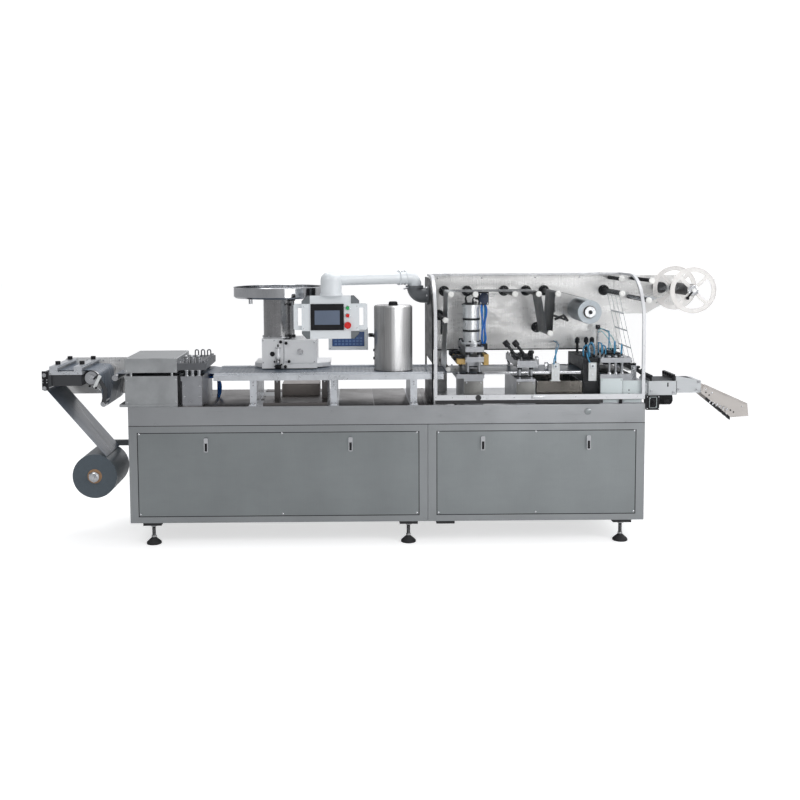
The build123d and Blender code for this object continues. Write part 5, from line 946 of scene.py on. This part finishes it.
# waste reel: chuck, hub with its clamping lever, rims and drive
reel = {"station": 3322, "height": 657, "angles": (1.2, 3.294, 5.388), "drive": 3254}
x, z, drive = reel["station"], reel["height"], reel["drive"]
makePiece("reelChuck", "turnedSteel", {"stamps": [
    (turned(((12.6, 8), (22, 8), (24, 6), (30, 5), (31, 0), (12.6, 0)), 40), front, [(x, -264, z)]),
    (screwM6, front, boltCircle((x, -269, z), 26.5, reel["angles"]), 0.8)]}, "waste_reel")
makePiece("reelHub", "blackPlastic", {
    "stamps": [(band(34, 35.4, 331, 1, 40), front, [(x, 72, z)]),
               (ballKnob, front, [(3286, -264, 612)], 0.85)],
    "bars": [(3318, -270, 652, 3286, -270, 612, 5, 14)]}, "waste_reel")
rim = turned(((132.5, 0), (135.6, 0.2), (136, 1.2), (136, 4.8), (135.6, 5.8), (132.5, 6)), 96)
makePiece("reelRims", "reelPlastic", {"stamps": [(rim, back, [(x, -266, z)]), (rim, front, [(x, 76, z)])]},
          "waste_reel")
makePiece("reelDrive", "darkSteel", {"stamps": [
    (turned(((0, 10), (18, 10), (20, 8), (34.6, 8), (34.6, 0)), 36), front, [(drive, 129, z)]),
    (screwM5, front, boltCircle((drive, 121, z), 27, turns(4, 0.8)))]})
print("reel details made")

# conveyor, its motor and switch box
conveyor = {"roller": (3374, 111), "depth": -140, "motorLevel": -4, "fins": 9, "finPitch": 7.6}
x, z = conveyor["roller"]
makePiece("conveyorScrews", "turnedSteel", {
    "stamps": [
        (screwM8, front, [(3092, -240, 59), (3222, -240, 50), (3252, -234, 67), (3362, -234, 64)]),
        (screwM6, front, grid((3050, 3068), -225, (50, 90))),
        (screwM6, front, grid(3034, -225, (-70, -40))),
        (nutM8, front, [(x, -236, z)]), (nutM8, back, [(x, -44, z)]),
        (screwM5, up, [(3225, -225 + step * 42.5, 156) for step in range(5)], 0.9),
        (panHead, front, grid((3064, 3131), -260, (26, -44)), 0.6)],
    "bars": [(x, -233, z, x, -47, z, 7, 20)]})
fin = band(31.6, 35.4, 3, 0.4, 36)
makePiece("conveyorBlacks", "blackPlastic", {
    "blocks": [
        (3186, -240.8, 84, 3194, -239.6, 108, 0.8), (3084, -239, 128, 3096, -41, 138, 1.5),
        (3084, -239, 118, 3096, -227, 129, 1), (3084, -53, 118, 3096, -41, 129, 1),
        (3239.6, -240.5, 36, 3242.6, -233.6, 117, 0.6), (3186, -176, -28, 3222, -168, -4, 2),
        (3095.6, -275, -14, 3100.4, -272, 2, 0.6)],
    "stamps": [
        (flutedKnob, up, [(3090, -226 + step * 43, 138) for step in range(5)], 0.82),
        (fin, along, [(3170 + step * conveyor["finPitch"], conveyor["depth"], conveyor["motorLevel"])
                      for step in range(conveyor["fins"])]),
        (turned(((0, 6), (22, 6), (28, 2), (29, 0)), 32), along, [(3240, conveyor["depth"], conveyor["motorLevel"])]),
        (turned(((0, 13), (7, 13), (9, 11.5), (10, 3), (16, 2.4), (17, 0)), 28), front, [(3098, -260, -6)])]})
makePiece("switchFrame", "coverGrey", {
    "blocks": [(x0, -260.6, z0, x1, -260, z1) for x0, z0, x1, z1 in
               ((3078, 24, 3118, 26), (3078, -40, 3118, -38), (3076, -38, 3078, 24), (3118, -38, 3120, 24))],
    "stamps": [(screwM5, front, [(3081, -260, 18), (3115, -260, -32)], 0.6)]})
print("conveyor details made")

# discharge chute: folded edges, rivets, holes and springs, placed down its slope
chute = {"slope": math.radians(24), "start": (3389.3, 60), "rivets": ((23, 15.7), (64.6, 11.8)),
         "holes": ((23, 15.7), (64.6, 11.8), (192.2, -45.1), (212.1, -49.4), (30, 0), (52, -8))}


def onChute(length, height, depth):
    (station, foot), slope = chute["start"], chute["slope"]
    return (station + math.cos(slope) * length + math.sin(slope) * max(height, 0), depth,
            foot - math.sin(slope) * length + math.cos(slope) * height)


makePiece("chuteRivets", "turnedSteel", {"stamps": [
    row for depth, outward in ((-240, front), (-60, back))
    for row in ((panHead, outward, [onChute(*spot, depth) for spot in chute["rivets"]], 0.9),
                (panHead, outward, [onChute(262, 10, depth)], 0.7))]})
makePiece("chuteHoles", "blackPlastic", {"bars": [
    (*onChute(*spot, -241), *onChute(*spot, -239.6), 4.6, 18) for spot in chute["holes"]]})
makePiece("chuteFolds", "chuteSheet", {"bars": [
    row for depth, inner in ((-241.2, -239.6), (-58.8, -60.4))
    for row in ((*onChute(2, 33, depth), *onChute(284, 33, depth), 1.5, 10),
                (*onChute(0, 39.6, inner), *onChute(285, 37.6, inner), 2.0, 10))]})
makePiece("chuteSprings", "turnedSteel", {"bars": [
    (*onChute(62 + step * 22, -40, -243), *onChute(50 + step * 22, -62, -243), 5, 10, 1) for step in range(6)]})
print("chute details made")

# hood: seal strip, sill, pull, hinge and corner screws
hood = {"face": -342, "plug": 2051, "sill": (1900, 2260, 2440, 2620, 2800, 2980)}
makePiece("hoodSeal", "footRubber", {
    "blocks": [(1796, -341, 25.6, 3022, -330, 28.2, 0.8), (1800, -340, 6, 2780, -334, 26, 1)],
    "stamps": [(turned(((0, 0.8), (12, 0.8), (15, 2.0), (17, 1.2), (17, -0.4)), 32), front,
                [(hood["plug"], hood["face"], 42)])]}, "hood")
makePiece("hoodScrews", "turnedSteel", {
    "stamps": [(panHead, front, grid((1802, 3016), hood["face"], (43, 180, 340)), 0.6),
               (panHead, front, grid(hood["sill"], hood["face"], 43), 0.6),
               (screwM5, up, [(1907, 186, 752), (2862, 186, 752)], 0.7)],
    "blocks": [(2360, hood["face"] - 4, 34, 2440, hood["face"], 52, 1.6)]}, "hood")
print("hood details made")

# studio: the photograph's camera, and a floor and a sky that stay pale for it
studio = {"focal": 44.6, "shift": (0.06, -0.10), "pitch": 4.458, "roll": 0.0076,
          "place": (cabinetStart + 1.316, -6.081, 1.781), "floorGlow": 0.60, "skyStrength": 1.15,
          "skyDepths": ((0.0, (0.60, 0.60, 0.612)), (0.5, (0.72, 0.72, 0.73)), (1.0, (1.0, 1.0, 1.02))),
          "skyCards": ((0.0, 0.42), (0.06, 0.60), (0.12, 0.34), (0.24, 0.26), (0.33, 0.44), (0.45, 0.58),
                       (0.50, 0.70), (0.56, 0.95), (0.66, 1.0), (0.78, 0.92), (0.90, 1.0), (1.0, 0.75)),
          # each lamp's name, place, aim, size and power
          "lamps": (("keyLight", (-3.0, -4.2, 4.2), (0.0, 0.0, 0.9), (2.6, 2.0), 70),
                    ("fillLight", (4.2, -3.4, 2.6), (0.3, 0.0, 1.0), (2.0, 2.4), 85),
                    ("panelLight", (1.5, -3.3, 1.14), (0.85, 0.2, 1.3), (1.9, 0.4), 9),
                    ("topLight", (0.2, 0.6, 4.6), (0.0, 0.0, 0.9), (4.0, 1.8), 80))}


def studioObject(name, data):
    made = bpy.data.objects.new(name, data)
    bpy.context.collection.objects.link(made)
    return made


def studioFloor():
    finish = Finish("floorWhite")
    speckle = finish.noise(even, 0.6, 3.0, 0.5)
    finish.set(Base_Color=finish.tint(speckle, (0.66, 0.665, 0.67), (0.68, 0.685, 0.69)), Roughness=0.9,
               Specular_IOR_Level=0.1)
    seen = finish.node("ShaderNodeLightPath", output="Is Camera Ray")
    glow = finish.node("ShaderNodeEmission", None, {"Strength": seen * studio["floorGlow"]})
    both = finish.node("ShaderNodeAddShader", None, {0: Wire(finish, finish.surface.outputs[0]), 1: glow})
    finish.feed(finish.output.inputs["Surface"], both)
    bm = bmesh.new()
    bmesh.ops.create_grid(bm, x_segments=4, y_segments=4, size=40)
    floor = studioObject("studioFloor", keepMesh(bm))
    floor.data.materials.append(finish.material)


def studioWorld():      # darker behind and in upright cards to the left, and plain white for the camera
    world = bpy.data.worlds.new("studioWorld")
    world.use_nodes = True
    sky = Shader(world.node_tree)
    point = sky.node("ShaderNodeTexCoord", output="Generated")
    shades = [sky.ramp(sky.node("ShaderNodeMapRange", None, {"Value": sky.axis(point, name), "From Min": -1}),
                       *studio[stops]) for name, stops in (("Y", "skyDepths"), ("X", "skyCards"))]
    product = sky.node("ShaderNodeMix", {"data_type": "RGBA", "blend_type": "MULTIPLY"},
                       {"Factor": 1.0, 6: shades[0], 7: shades[1]}, 2)
    seen = sky.node("ShaderNodeLightPath", output="Is Camera Ray")
    light = sky.node("ShaderNodeBackground", None, {"Color": sky.tint(seen, product, (1, 1, 1)),
                                                    "Strength": studio["skyStrength"]})
    sky.node("ShaderNodeOutputWorld", None, {"Surface": light})
    bpy.context.scene.world = world


for lampName, place, aim, (wide, tall), power in studio["lamps"]:
    lamp = bpy.data.lights.new(lampName, "AREA")
    lamp.shape, lamp.size, lamp.size_y, lamp.energy = "RECTANGLE", wide, tall, power
    turn = (Vector(aim) - Vector(place)).to_track_quat("-Z", "Y").to_matrix().to_4x4()
    studioObject(lampName, lamp).matrix_world = Matrix.Translation(place) @ turn
camera = studioObject("photoCamera", bpy.data.cameras.new("photoCamera"))
camera.data.lens, camera.data.sensor_width = studio["focal"], 36.0
camera.data.shift_x, camera.data.shift_y = studio["shift"]
tilt = Matrix.Rotation(math.radians(90 - studio["pitch"]), 4, "X")
camera.matrix_world = Matrix.Translation(studio["place"]) @ tilt @ Matrix.Rotation(-studio["roll"], 4, "Z")
bpy.context.scene.camera = camera
studioFloor()
studioWorld()
bpy.context.scene.view_settings.view_transform = "Standard"
print("studio and camera ready")
